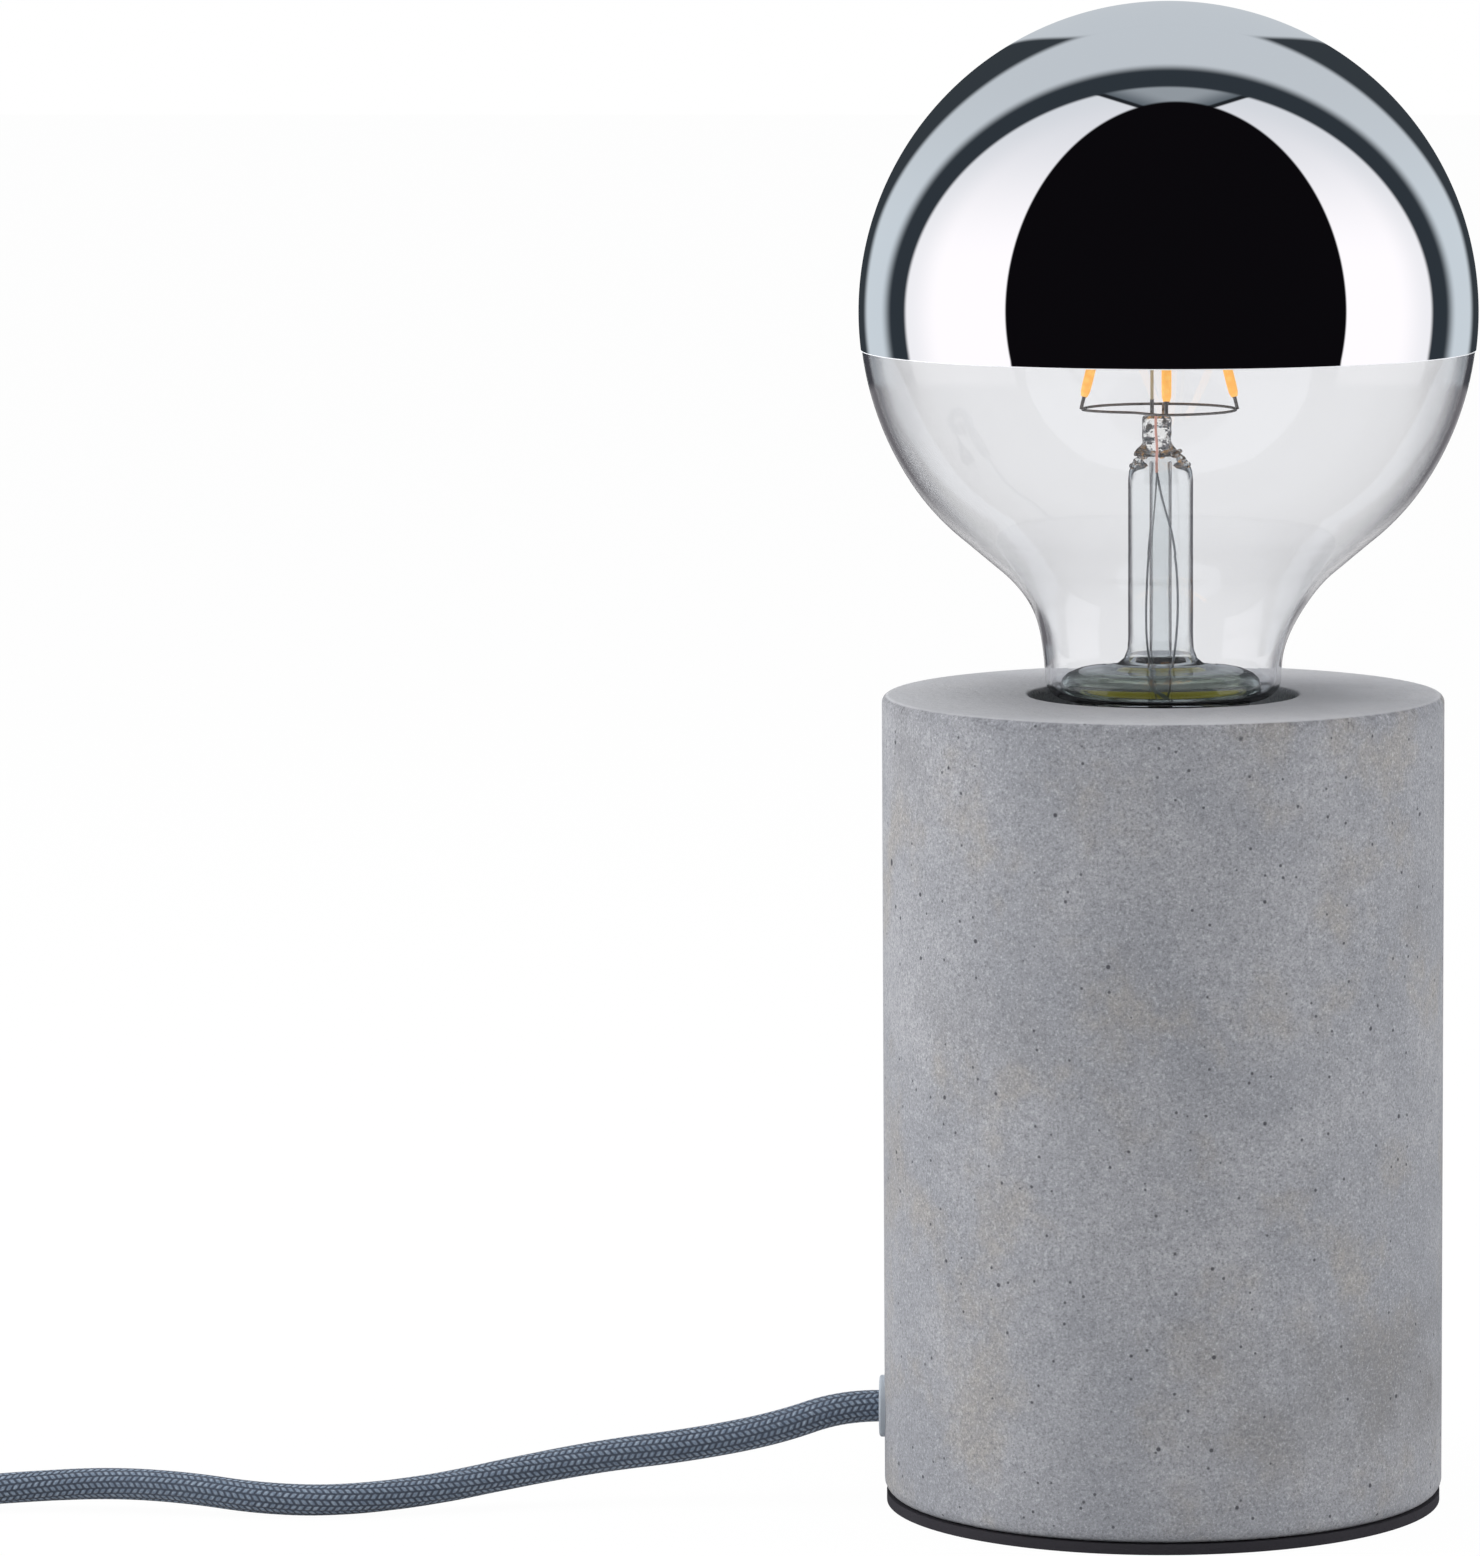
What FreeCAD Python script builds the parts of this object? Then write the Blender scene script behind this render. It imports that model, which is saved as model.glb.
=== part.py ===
import FreeCAD, Part
import Sketcher
import math
import os
from FreeCAD import Placement, Rotation, Vector

# A bare bulb table lamp: a concrete cylinder whose well holds an E27 lampholder, a 95 mm globe lamp
# with a mirrored crown and LED filaments, and a textile lead with an inline switch and a flat plug.
# Millimetres. Z is up, the origin is the middle of the foot, and the lead leaves towards -X.

SIZES = {
    # foot pad and concrete body
    "pad_inset": 0.3,
    "pad_t": 1.6,
    "body_d": 86.5,
    "body_h": 124.1,
    "foot_round": 2.0,
    "rim_round": 1.2,
    "well_gap": 1.2,
    "mouth_round": 0.8,
    "web_t": 16.0,
    "recess_d": 56.0,
    "recess_height": 40.4,
    "nipple_hole_gap": 0.4,
    # lead exit
    "exit_z": 14.4,
    "grommet_fit": 0.1,
    "grommet_d": 7.6,
    "grommet_flange_d": 9.6,
    "grommet_flange_t": 0.8,
    # lampholder
    "holder_d": 38.6,
    "holder_cup_h": 12.0,
    "holder_wall": 1.8,
    "holder_floor_t": 3.0,
    "holder_boss_d": 16.0,
    "holder_boss_h": 7.0,
    "spigot_h": 8.0,
    "spigot_gap": 0.2,
    "skirt_h": 52.5,
    "ledge_w": 1.7,
    "ledge_t": 2.0,
    "thread_fit": 0.35,
    "thread_wall": 2.2,
    "thread_h": 16.5,
    "entry_fit": 0.9,
    "entry_h": 5.0,
    "block_gap": 0.7,
    "block_h": 10.0,
    "block_hole_d": 2.8,
    "terminal_x": 10.0,
    "terminal_y": 4.3,
    "terminal_screw_d": 5.0,
    "terminal_screw_h": 2.0,
    "contact_t": 0.8,
    "contact_w": 5.0,
    "contact_rise": 9.4,
    "side_contact_h": 12.4,
    # hollow threaded nipple, washer and lock nut
    "nipple_d": 10.0,
    "nipple_bore_d": 7.6,
    "nipple_below": 9.0,
    "nipple_gap": 0.1,
    "washer_d": 20.0,
    "washer_t": 1.2,
    "nut_flats": 14.0,
    "nut_t": 4.5,
    # strain clamp on the sheath inside the recess
    "clamp_gap": 1.5,
    "clamp_l": 10.5,
    "clamp_w": 17.0,
    "clamp_half_h": 6.0,
    "clamp_split": 0.4,
    "clamp_screw_d": 2.8,
    "clamp_screw_head_d": 5.2,
    "clamp_screw_head_h": 2.0,
    "clamp_screw_spread": 5.6,
    "fit_gap": 0.1,
    # lead
    "cord_d": 4.8,
    "core_d": 2.3,
    "core_gap": 0.2,
    "sheath_end_x": 12.0,
    # screw cap of the globe lamp
    "contact_gap": 0.3,
    "button_d": 9.5,
    "button_h": 1.5,
    "insulator_step": 0.1,
    "insulator_h": 3.4,
    "turn_gap": 0.3,
    "shell_taper": 2.15,
    "shell_cone_h": 2.2,
    "shell_d": 25.3,
    "shell_thread_h": 13.2,
    "collar_step": 0.65,
    "collar_h": 5.9,
    "shell_wall": 0.4,
    # glass
    "glass_t": 1.0,
    "globe_d": 95.0,
    "lower_r": 38.0,
    "lower_angle": 57.0,
    "throat_angle": 38.0,
    "throat_r": 21.0,
    "neck_d": 36.4,
    "neck_straight": 0.45,
    "heel_r": 3.2,
    "heel_rise": 0.2,
    "cement_t": 0.6,
    "tail_h": 5.5,
    "coat_t": 0.12,
    "coat_gap": 0.05,
    "coat_drop": 5.6,
    # glass stem
    "flare_gap": 1.6,
    "flare_rise": 4.0,
    "stem_d": 10.0,
    "stem_wall": 1.0,
    "stem_h": 33.6,
    "shoulder_h": 2.8,
    "press_w": 4.6,
    "press_l": 9.0,
    "press_h": 6.0,
    "exhaust_d": 3.4,
    "exhaust_bore_d": 2.0,
    "exhaust_tail": 13.0,
    # filaments and their wires
    "ring_d": 23.5,
    "ring_rise": 0.8,
    "wire_d": 0.5,
    "filament_d": 1.5,
    "filament_l": 36.0,
    "filament_lean": 14.0,
    "filament_lift": 1.6,
    "support_x": 1.72,
    # driver board in the cap
    "board_t": 1.2,
    "board_drop": 14.5,
    "capacitor_d": 6.3,
    "capacitor_h": 4.5,
    # inline switch
    "switch_x": 228.0,
    "switch_y": 13.0,
    "switch_l": 64.0,
    "switch_w": 26.0,
    "switch_h": 18.0,
    "switch_corner": 9.0,
    "switch_edge": 2.6,
    "switch_wall": 1.8,
    "cord_entry": 3.0,
    "rocker_r": 11.0,
    "rocker_w": 12.0,
    "rocker_tilt": 8.0,
    "rocker_gap": 0.4,
    "rocker_axis_drop": 4.0,
    "rocker_dish": 3.2,
    "rocker_rise": 1.4,
    "rocker_round": 0.8,
    "rocker_pin_d": 2.0,
    "cheek_t": 1.6,
    "screw_d": 2.2,
    "screw_head_d": 4.6,
    "screw_head_h": 1.6,
    "screw_spread": 20.0,
    "pillar_d": 6.4,
    # coil of the length put away
    "coil_x": 342.0,
    "coil_y": 14.0,
    "coil_r": 41.4,
    "coil_pitch": 5.4,
    "coil_turns": 3.5,
    "layer_pitch": 5.9,
    "tie_t": 0.9,
    "tie_w": 12.0,
    "tie_gap": 0.5,
    # flat plug
    "plug_x": 272.0,
    "plug_y": 40.0,
    "plug_l": 36.0,
    "plug_w": 35.3,
    "plug_t": 13.7,
    "plug_face_l": 12.0,
    "plug_tail_w": 13.0,
    "plug_tail_t": 10.5,
    "pin_d": 4.0,
    "pin_l": 19.0,
    "pin_sleeve_l": 10.0,
    "pin_core_step": 0.5,
    "pin_spread": 9.3,
    "relief_l": 18.0,
    "relief_d": 9.0,
    "relief_end_d": 6.8,
}

os.makedirs("parts", exist_ok=True)
doc = FreeCAD.newDocument("bare_bulb_table_lamp")
sheet = doc.addObject("Spreadsheet::Sheet", "Sizes")
for row, (alias, number) in enumerate(SIZES.items(), start=1):
    sheet.set(f"A{row}", alias)
    sheet.set(f"B{row}", str(number))
    sheet.setAlias(f"B{row}", alias)
doc.recompute()


class Size:
    """A length or angle that keeps its formula in sheet cells beside its value."""

    def __init__(self, value, formula):
        self.value = value
        self.formula = formula

    def __float__(self):
        return self.value

    def __add__(self, other):
        other = as_size(other)
        return Size(self.value + other.value, f"({self.formula} + {other.formula})")

    def __sub__(self, other):
        other = as_size(other)
        return Size(self.value - other.value, f"({self.formula} - {other.formula})")

    def __mul__(self, factor):
        return Size(self.value * factor, f"({self.formula} * {factor})")

    def __truediv__(self, factor):
        return Size(self.value / factor, f"({self.formula} / {factor})")

    def __neg__(self):
        return Size(-self.value, f"(0 - {self.formula})")


def as_size(number):
    return number if isinstance(number, Size) else Size(float(number), str(float(number)))


def size(alias):
    return Size(float(getattr(sheet, alias)), f"Sizes.{alias}")


def half(alias):
    return size(alias) / 2


# ---------------------------------------------------------------- ways of making a piece
def bind(thing, formulas):
    """Ties properties of a document object to sheet formulas."""
    for name, value in formulas.items():
        thing.setExpression(name, as_size(value).formula)


def put(thing, x=0, y=0, z=0, rotation=None):
    """Places a piece, with its position bound to the sheet."""
    thing.Placement = Placement(Vector(float(x), float(y), float(z)), rotation or Rotation())
    bind(thing, {"Placement.Base.x": x, "Placement.Base.y": y, "Placement.Base.z": z})
    return thing


def new_body(name):
    body = doc.addObject("PartDesign::Body", name)
    body.Label = name
    return body


def new_sketch(body, name, plane, lift=None):
    """A sketch on one of the body's own origin planes, lifted off it along its normal."""
    sketch = body.newObject("Sketcher::SketchObject", name)
    features = body.Origin.OriginFeatures
    sketch.AttachmentSupport = [(next(f for f in features if f.Role == plane), "")]
    sketch.MapMode = "FlatFace"
    if lift is not None:
        bind(sketch, {"AttachmentOffset.Base.z": lift})
    return sketch


def draw(sketch, corners):
    """A closed outline through corners (across, up[, rounding]), each bound to the sheet."""
    count = len(corners)
    points = [Vector(float(c[0]), float(c[1]), 0) for c in corners]
    rounding = [c[2] if len(c) > 2 else None for c in corners]
    ways = [(points[(i + 1) % count] - points[i]).normalize() for i in range(count)]
    trims = []
    for i in range(count):
        turn = ways[i - 1].getAngle(ways[i])
        trims.append(float(rounding[i]) * math.tan(turn / 2) if rounding[i] is not None else 0.0)
    for i in range(count):
        start = points[i] + ways[i] * trims[i]
        end = points[(i + 1) % count] - ways[i] * trims[(i + 1) % count]
        sketch.addGeometry(Part.LineSegment(start, end), False)
    for i in range(count):
        before = (i - 1) % count
        if rounding[i] is None:
            sketch.addConstraint(Sketcher.Constraint("Coincident", before, 2, i, 1))
            pin_down(sketch, i, corners[i])
            continue
        corner = sketch.addGeometry(Part.Point(points[i]), True)
        pin_down(sketch, corner, corners[i])
        sketch.addConstraint(Sketcher.Constraint("PointOnObject", corner, 1, before))
        sketch.addConstraint(Sketcher.Constraint("PointOnObject", corner, 1, i))
        arc = sketch.addGeometry(corner_arc(points[i], ways[i - 1], ways[i], float(rounding[i])), False)
        left_turn = ways[i - 1].cross(ways[i]).z > 0
        first, last = (1, 2) if left_turn else (2, 1)
        sketch.addConstraint(Sketcher.Constraint("Tangent", before, 2, arc, first))
        sketch.addConstraint(Sketcher.Constraint("Tangent", arc, last, i, 1))
        radius = sketch.addConstraint(Sketcher.Constraint("Radius", arc, float(rounding[i])))
        sketch.setExpression(f"Constraints[{radius}]", as_size(rounding[i]).formula)


def pin_down(sketch, geometry, corner):
    """Holds the first point of a sketch geometry at the corner's place."""
    for kind, value in (("DistanceX", corner[0]), ("DistanceY", corner[1])):
        index = sketch.addConstraint(Sketcher.Constraint(kind, -1, 1, geometry, 1, float(value)))
        if isinstance(value, Size):
            sketch.setExpression(f"Constraints[{index}]", value.formula)


def corner_arc(corner, way_in, way_out, radius):
    """The arc that rounds a corner of an outline, tangent to both of its sides."""
    reach = radius * math.tan(way_in.getAngle(way_out) / 2)
    start = corner - way_in * reach
    end = corner + way_out * reach
    inward = (way_out - way_in).normalize()
    middle = corner + inward * (math.hypot(radius, reach) - radius)
    return Part.Arc(start, middle, end)


def turned(name, *corners):
    """A body turned about Z from its half section."""
    body = new_body(name)
    sketch = new_sketch(body, name + "_section", "XZ_Plane")
    draw(sketch, corners)
    turn = body.newObject("PartDesign::Revolution", name + "_turn")
    turn.Profile = sketch
    turn.ReferenceAxis = (sketch, ["V_Axis"])
    turn.Angle = 360.0
    return body


def padded(name, plane, corners, length, lift=None, midplane=False):
    """A body padded from an outline on one of its origin planes."""
    body = new_body(name)
    sketch = new_sketch(body, name + "_outline", plane, lift)
    draw(sketch, corners)
    pad = body.newObject("PartDesign::Pad", name + "_pad")
    pad.Profile = sketch
    pad.Midplane = midplane
    pad.Length = float(length)
    bind(pad, {"Length": length})
    return body


def cylinder(name, diameter, height, x=0, y=0, z=0, rotation=None):
    rod = doc.addObject("Part::Cylinder", name)
    bind(rod, {"Radius": as_size(diameter) / 2, "Height": height})
    return put(rod, x, y, z, rotation)


def box(name, length, width, height, x, y, z):
    """A box given by its lowest corner."""
    cube = doc.addObject("Part::Box", name)
    bind(cube, {"Length": length, "Width": width, "Height": height})
    return put(cube, x, y, z)


def cut(name, base, *tools):
    piece = base
    for number, tool in enumerate(tools):
        step = doc.addObject("Part::Cut", name if number == len(tools) - 1 else f"{name}_cut{number}")
        step.Base = piece
        step.Tool = tool
        piece = step
    return piece


def fused(name, *pieces):
    whole = doc.addObject("Part::MultiFuse", name)
    whole.Shapes = list(pieces)
    return whole


def grouped(name, *pieces):
    """Separate solids that share one node."""
    group = doc.addObject("Part::Compound", name)
    group.Links = list(pieces)
    return group


def computed(name, shape):
    feature = doc.addObject("Part::Feature", name)
    feature.Shape = shape
    return feature


def revolved(edges):
    """The solid turned about Z from a closed half section of edges in the XZ plane."""
    face = Part.Face(Part.Wire(Part.__sortEdges__(edges)))
    return face.revolve(Vector(), Vector(0, 0, 1), 360)


ARC_SHARE = 0.45  # how much of the shorter run each side of an arc takes
BAR_SIDES = 6  # flats round the section of a cord or wire


def route_edges(points):
    """Straight runs joined by tangent arcs, and the radius of each arc."""
    edges = []
    radii = []
    start = points[0]
    for before, corner, after in zip(points, points[1:], points[2:]):
        way_in = (corner - before).normalize()
        way_out = (after - corner).normalize()
        reach = ARC_SHARE * min((corner - before).Length, (after - corner).Length)
        radius = reach / math.tan(way_in.getAngle(way_out) / 2)
        arc = corner_arc(corner, way_in, way_out, radius)
        edges.append(Part.LineSegment(start, arc.StartPoint).toShape())
        edges.append(arc.toShape())
        start = arc.EndPoint
        radii.append(radius)
    edges.append(Part.LineSegment(start, points[-1]).toShape())
    return edges, radii


def bar_section(place, way, diameter):
    """The faceted section of a cord or wire, square to its way."""
    circle = Part.makeCircle(diameter / 2, place, way)
    points = [circle.valueAt(2 * math.pi * i / BAR_SIDES) for i in range(BAR_SIDES)]
    return Part.makePolygon(points + points[:1])


def section_area(diameter):
    return BAR_SIDES / 2 * (diameter / 2) ** 2 * math.sin(2 * math.pi / BAR_SIDES)


def swept(edges, diameter):
    """A bar along a chain of tangent edges."""
    start = edges[0].valueAt(edges[0].FirstParameter)
    way = edges[0].tangentAt(edges[0].FirstParameter)
    return Part.Wire(edges).makePipeShell([bar_section(start, way, diameter)], True, False)


def rod(start, way, length, diameter):
    """A straight piece of wire."""
    return Part.Face(bar_section(start, way, diameter)).extrude(Vector(way).normalize() * length)


def tube(name, points, diameter):
    """A cord or wire along a route, checked against its section times its length."""
    edges, radii = route_edges([Vector(*(float(c) for c in p)) for p in points])
    bar = swept(edges, float(diameter))
    length = sum(edge.Length for edge in edges)
    expected = section_area(float(diameter)) * length
    shown = " ".join(f"{radius:.0f}" for radius in radii)
    print(f"{name}: {length:.1f} mm, volume {bar.Volume / expected:.4f} of its section, radii {shown}")
    return computed(name, bar)


# ---------------------------------------------------------------- radii that several pieces share
shell_r = half("shell_d")
shell_low_r = shell_r - size("shell_taper")
collar_r = shell_r + size("collar_step")
tail_r = collar_r - size("shell_wall") - size("cement_t")
thread_bore_r = shell_r + size("thread_fit")
entry_r = collar_r + size("entry_fit")
holder_inside = half("holder_d") - size("holder_wall")
flare_r = half("neck_d") - size("glass_t") - size("flare_gap")
core_spread = half("core_d") + size("core_gap")

# ---------------------------------------------------------------- levels, from the foot up
body_base = size("pad_t")
body_top = body_base + size("body_h")
recess_top = body_base + size("recess_height")
well_floor = recess_top + size("web_t")
cup_top = well_floor + size("holder_cup_h")
block_base = cup_top + size("spigot_h")
block_top = block_base + size("block_h")
contact_top = block_top + size("contact_rise")
holder_rim = cup_top + size("skirt_h")
tip = contact_top + size("contact_gap")
button_top = tip + size("button_h")
insulator_top = button_top + size("insulator_h")
shell_low = insulator_top + size("turn_gap")
thread_low = shell_low + size("shell_cone_h")
thread_top = thread_low + size("shell_thread_h")
collar_low = thread_top + size("collar_step")
cap_rim = collar_low + size("collar_h")
heel = cap_rim + size("heel_rise")
flare_low = heel + size("glass_t") + size("fit_gap")
stem_top = flare_low + size("stem_h")
press_base = stem_top + size("shoulder_h")
press_top = press_base + size("press_h")
ring_z = press_top + size("ring_rise")


# ---------------------------------------------------------------- concrete body and pad
def concrete_body():
    radius = half("body_d")
    hole = half("nipple_d") + size("nipple_hole_gap")
    well = half("holder_d") + size("well_gap")
    recess = half("recess_d")
    body = turned(
        "concrete_body",
        (recess, body_base),
        (radius, body_base, size("foot_round")),
        (radius, body_top, size("rim_round")),
        (well, body_top, size("mouth_round")),
        (well, well_floor),
        (hole, well_floor),
        (hole, recess_top),
        (recess, recess_top),
    )
    exit_r = half("grommet_d") + size("grommet_fit")
    sketch = new_sketch(body, "exit_hole_ring", "YZ_Plane")
    round_edge = Part.Circle(Vector(0, float(size("exit_z")), 0), Vector(0, 0, 1), float(exit_r))
    circle = sketch.addGeometry(round_edge, False)
    sketch.addConstraint(Sketcher.Constraint("PointOnObject", circle, 3, -2))
    rise = sketch.addConstraint(Sketcher.Constraint("DistanceY", -1, 1, circle, 3, float(size("exit_z"))))
    sketch.setExpression(f"Constraints[{rise}]", size("exit_z").formula)
    wide = sketch.addConstraint(Sketcher.Constraint("Radius", circle, float(exit_r)))
    sketch.setExpression(f"Constraints[{wide}]", exit_r.formula)
    doc.recompute()
    before = body.Shape.Volume
    hole_cut = body.newObject("PartDesign::Pocket", "exit_hole")
    hole_cut.Profile = sketch
    hole_cut.Reversed = False
    hole_cut.Length = float(radius)
    bind(hole_cut, {"Length": radius})
    doc.recompute()
    print(f"exit hole removes {before - body.Shape.Volume:.0f} mm3")
    return body


def base_pad():
    radius = half("body_d") - size("pad_inset")
    return turned(
        "base_pad",
        (0, 0),
        (radius, 0),
        (radius, body_base),
        (0, body_base),
    )


TOWARDS_LEAD = Rotation(Vector(0, 0, 1), Vector(-1, 0, 0))


def cable_grommet():
    """A flanged sleeve in the exit hole; its flange follows the round of the body."""
    seat = half("body_d")
    inner = half("recess_d")
    bore = half("cord_d") + size("fit_gap")
    sleeve = turned(
        "grommet_blank",
        (bore, inner),
        (half("grommet_d"), inner),
        (half("grommet_d"), seat - size("grommet_flange_t")),
        (half("grommet_flange_d"), seat - size("grommet_flange_t")),
        (half("grommet_flange_d"), seat + size("grommet_flange_t"), size("grommet_flange_t") / 2),
        (bore, seat + size("grommet_flange_t")),
    )
    put(sleeve, 0, 0, size("exit_z"), TOWARDS_LEAD)
    wall = cylinder("grommet_wall", size("body_d"), body_top)
    channel = cylinder("grommet_channel", size("grommet_d"), seat, 0, 0, size("exit_z"), TOWARDS_LEAD)
    return cut("cable_grommet", sleeve, cut("grommet_seat", wall, channel))


# ---------------------------------------------------------------- lampholder
def holder_cup():
    spigot = holder_inside - size("spigot_gap")
    inside = spigot - size("holder_wall")
    bore = half("nipple_d") + size("nipple_gap")
    floor = well_floor + size("holder_floor_t")
    boss = half("holder_boss_d")
    return turned(
        "holder_cup",
        (bore, well_floor),
        (half("holder_d"), well_floor, size("holder_wall")),
        (half("holder_d"), cup_top),
        (spigot, cup_top),
        (spigot, block_base),
        (inside, block_base),
        (inside, floor),
        (boss, floor),
        (boss, floor + size("holder_boss_h")),
        (bore, floor + size("holder_boss_h")),
    )


def holder_skirt():
    """The screw-on shell: an outer tube, a ledge that clamps the block, and the thread tube within."""
    outside = half("holder_d")
    inside = holder_inside
    bore = thread_bore_r
    tube_out = bore + size("thread_wall")
    tube_low = holder_rim - size("entry_h") - size("thread_h")
    roof = holder_rim - size("holder_wall")
    ledge = inside - size("ledge_w")
    return turned(
        "holder_skirt",
        (outside, cup_top),
        (outside, holder_rim, size("holder_wall") / 2),
        (entry_r, holder_rim),
        (entry_r, holder_rim - size("entry_h")),
        (bore, holder_rim - size("entry_h") - (entry_r - bore)),
        (bore, tube_low),
        (tube_out, tube_low),
        (tube_out, roof),
        (inside, roof),
        (inside, block_top + size("ledge_t")),
        (ledge, block_top + size("ledge_t")),
        (ledge, block_top),
        (inside, block_top),
        (inside, cup_top),
    )


def contact_block():
    across = (holder_inside - size("block_gap")) * 2
    disc = cylinder("block_disc", across, size("block_h"), 0, 0, block_base)
    holes = [
        cylinder(f"block_hole_{side}", size("block_hole_d"), size("block_h"),
                 size("terminal_x") * side, size("terminal_y") * -side, block_base)
        for side in (-1, 1)
    ]
    return cut("contact_block", disc, *holes)


def centre_contact():
    """A sprung strip that rises from its terminal to the middle of the holder."""
    flat = half("button_d") * 0.6
    foot = flat + size("contact_t") * 3
    low = contact_top - size("contact_t")
    end = size("terminal_x") + half("terminal_screw_d")
    return padded(
        "centre_contact",
        "XZ_Plane",
        [
            (-end, block_top),
            (-foot, block_top),
            (-flat, low),
            (flat, low),
            (foot - size("contact_t"), low - size("contact_t") * 2),
            (foot, low - size("contact_t")),
            (flat + size("contact_t") / 2, contact_top),
            (-flat - size("contact_t") / 2, contact_top),
            (-foot - size("contact_t"), block_top + size("contact_t")),
            (-end, block_top + size("contact_t")),
        ],
        size("contact_w"),
        midplane=True,
    )


def side_contact():
    """A strip that stands beside the cap and bows in towards its shell."""
    near = thread_bore_r
    back = near + size("contact_t")
    top = block_top + size("side_contact_h")
    bow = top - size("contact_t") * 4
    return padded(
        "side_contact",
        "XZ_Plane",
        [
            (size("terminal_x") - half("terminal_screw_d"), block_top),
            (back + size("contact_t"), block_top),
            (back + size("contact_t"), bow - size("contact_t") * 3),
            (back, bow),
            (back + size("contact_t"), top),
            (back, top),
            (near, bow),
            (back, bow - size("contact_t") * 3),
            (back, block_top + size("contact_t")),
            (size("terminal_x") - half("terminal_screw_d"), block_top + size("contact_t")),
        ],
        size("contact_w"),
        midplane=True,
    )


def slotted_head(name, diameter, height, x, y, z, down=False):
    """A round screw head with a driver slot across its outer face."""
    head = cylinder(name + "_round", diameter, height, x, y, z)
    slot_t = as_size(height) * 0.35
    slot_z = as_size(z) if down else as_size(z) + as_size(height) - slot_t
    slot = box(name + "_slot", diameter, size("contact_t"), slot_t,
               as_size(x) - as_size(diameter) / 2, as_size(y) - size("contact_t") / 2, slot_z)
    return cut(name, head, slot)


def terminal_screws():
    heads = [
        slotted_head(f"terminal_screw_{side}", size("terminal_screw_d"), size("terminal_screw_h"),
                     size("terminal_x") * side, 0, block_top + size("contact_t"))
        for side in (-1, 1)
    ]
    return grouped("terminal_screws", *heads)


def threaded_nipple():
    low = recess_top - size("nipple_below")
    high = well_floor + size("holder_floor_t") + size("holder_boss_h")
    return turned(
        "threaded_nipple",
        (half("nipple_bore_d"), low),
        (half("nipple_d"), low),
        (half("nipple_d"), high),
        (half("nipple_bore_d"), high),
    )


def nipple_washer():
    bore = half("nipple_d") + size("nipple_gap")
    low = recess_top - size("washer_t")
    return turned(
        "nipple_washer",
        (bore, low),
        (half("washer_d"), low),
        (half("washer_d"), recess_top),
        (bore, recess_top),
    )


def nipple_nut():
    low = recess_top - size("washer_t") - size("nut_t")
    corner = half("nut_flats") / math.cos(math.pi / 6)
    hexagon = doc.addObject("Part::Prism", "nut_hexagon")
    hexagon.Polygon = 6
    bind(hexagon, {"Circumradius": corner, "Height": size("nut_t")})
    put(hexagon, 0, 0, low)
    bore = cylinder("nut_bore", size("nipple_d") + size("nipple_gap") * 2, size("nut_t"), 0, 0, low)
    return cut("nipple_nut", hexagon, bore)


# ---------------------------------------------------------------- strain clamp in the recess
clamp_outer_x = half("recess_d") - size("clamp_gap")
clamp_inner_x = clamp_outer_x - size("clamp_l")
clamp_middle_x = (clamp_outer_x + clamp_inner_x) / 2


def clamp_half(name, upper):
    """Half of the block that grips the sheath, with a groove for it and a hole for each screw."""
    split = size("clamp_split") / 2
    low = size("exit_z") + split if upper else size("exit_z") - split - size("clamp_half_h")
    blank = box(name + "_blank", size("clamp_l"), size("clamp_w"), size("clamp_half_h"),
                -clamp_outer_x, -half("clamp_w"), low)
    groove = cylinder(name + "_groove", size("cord_d") + size("fit_gap"), clamp_outer_x,
                      0, 0, size("exit_z"), TOWARDS_LEAD)
    holes = [
        cylinder(f"{name}_hole_{side}", size("clamp_screw_d") + size("fit_gap"), size("clamp_half_h"),
                 -clamp_middle_x, size("clamp_screw_spread") * side, low)
        for side in (-1, 1)
    ]
    return cut(name, blank, groove, *holes)


def clamp_screws():
    seat = size("exit_z") + size("clamp_split") / 2 + size("clamp_half_h")
    length = size("clamp_half_h") * 2 + size("clamp_split")
    screws = []
    for side in (-1, 1):
        y = size("clamp_screw_spread") * side
        shank = cylinder(f"clamp_shank_{side}", size("clamp_screw_d"), length,
                         -clamp_middle_x, y, seat - length)
        head = slotted_head(f"clamp_head_{side}", size("clamp_screw_head_d"), size("clamp_screw_head_h"),
                            -clamp_middle_x, y, seat)
        screws.append(fused(f"clamp_screw_{side}", shank, head))
    return grouped("clamp_screws", *screws)


# ---------------------------------------------------------------- lead inside the lamp
def flex_inner():
    """The sheathed lead through the grommet and the clamp, up to where it is stripped."""
    start = half("body_d") + size("grommet_flange_t")
    return cylinder("flex_inner", size("cord_d"), start - size("sheath_end_x"),
                    -size("sheath_end_x"), 0, size("exit_z"), TOWARDS_LEAD)


def core(name, side):
    """One insulated core, up through the nipple and out through its hole in the block."""
    y = float(core_spread) * side
    exit_z = float(size("exit_z"))
    spread_z = float(well_floor + size("holder_floor_t") + size("holder_boss_h")) + 2.0
    hole = (float(size("terminal_x")) * side, -float(size("terminal_y")) * side)
    top = float(block_top) + 1.2
    return tube(
        name,
        [
            (-float(size("sheath_end_x")), y, exit_z),
            (0, y, exit_z),
            (0, y, spread_z),
            (hole[0], hole[1], spread_z + 2.6),
            (hole[0], hole[1], top),
        ],
        size("core_d"),
    )


# ---------------------------------------------------------------- screw cap of the globe lamp
def contact_button():
    return turned(
        "contact_button",
        (0, tip),
        (half("button_d") * 0.7, tip),
        (half("button_d"), button_top - size("button_h") / 2),
        (half("button_d"), button_top),
        (0, button_top),
    )


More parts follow.
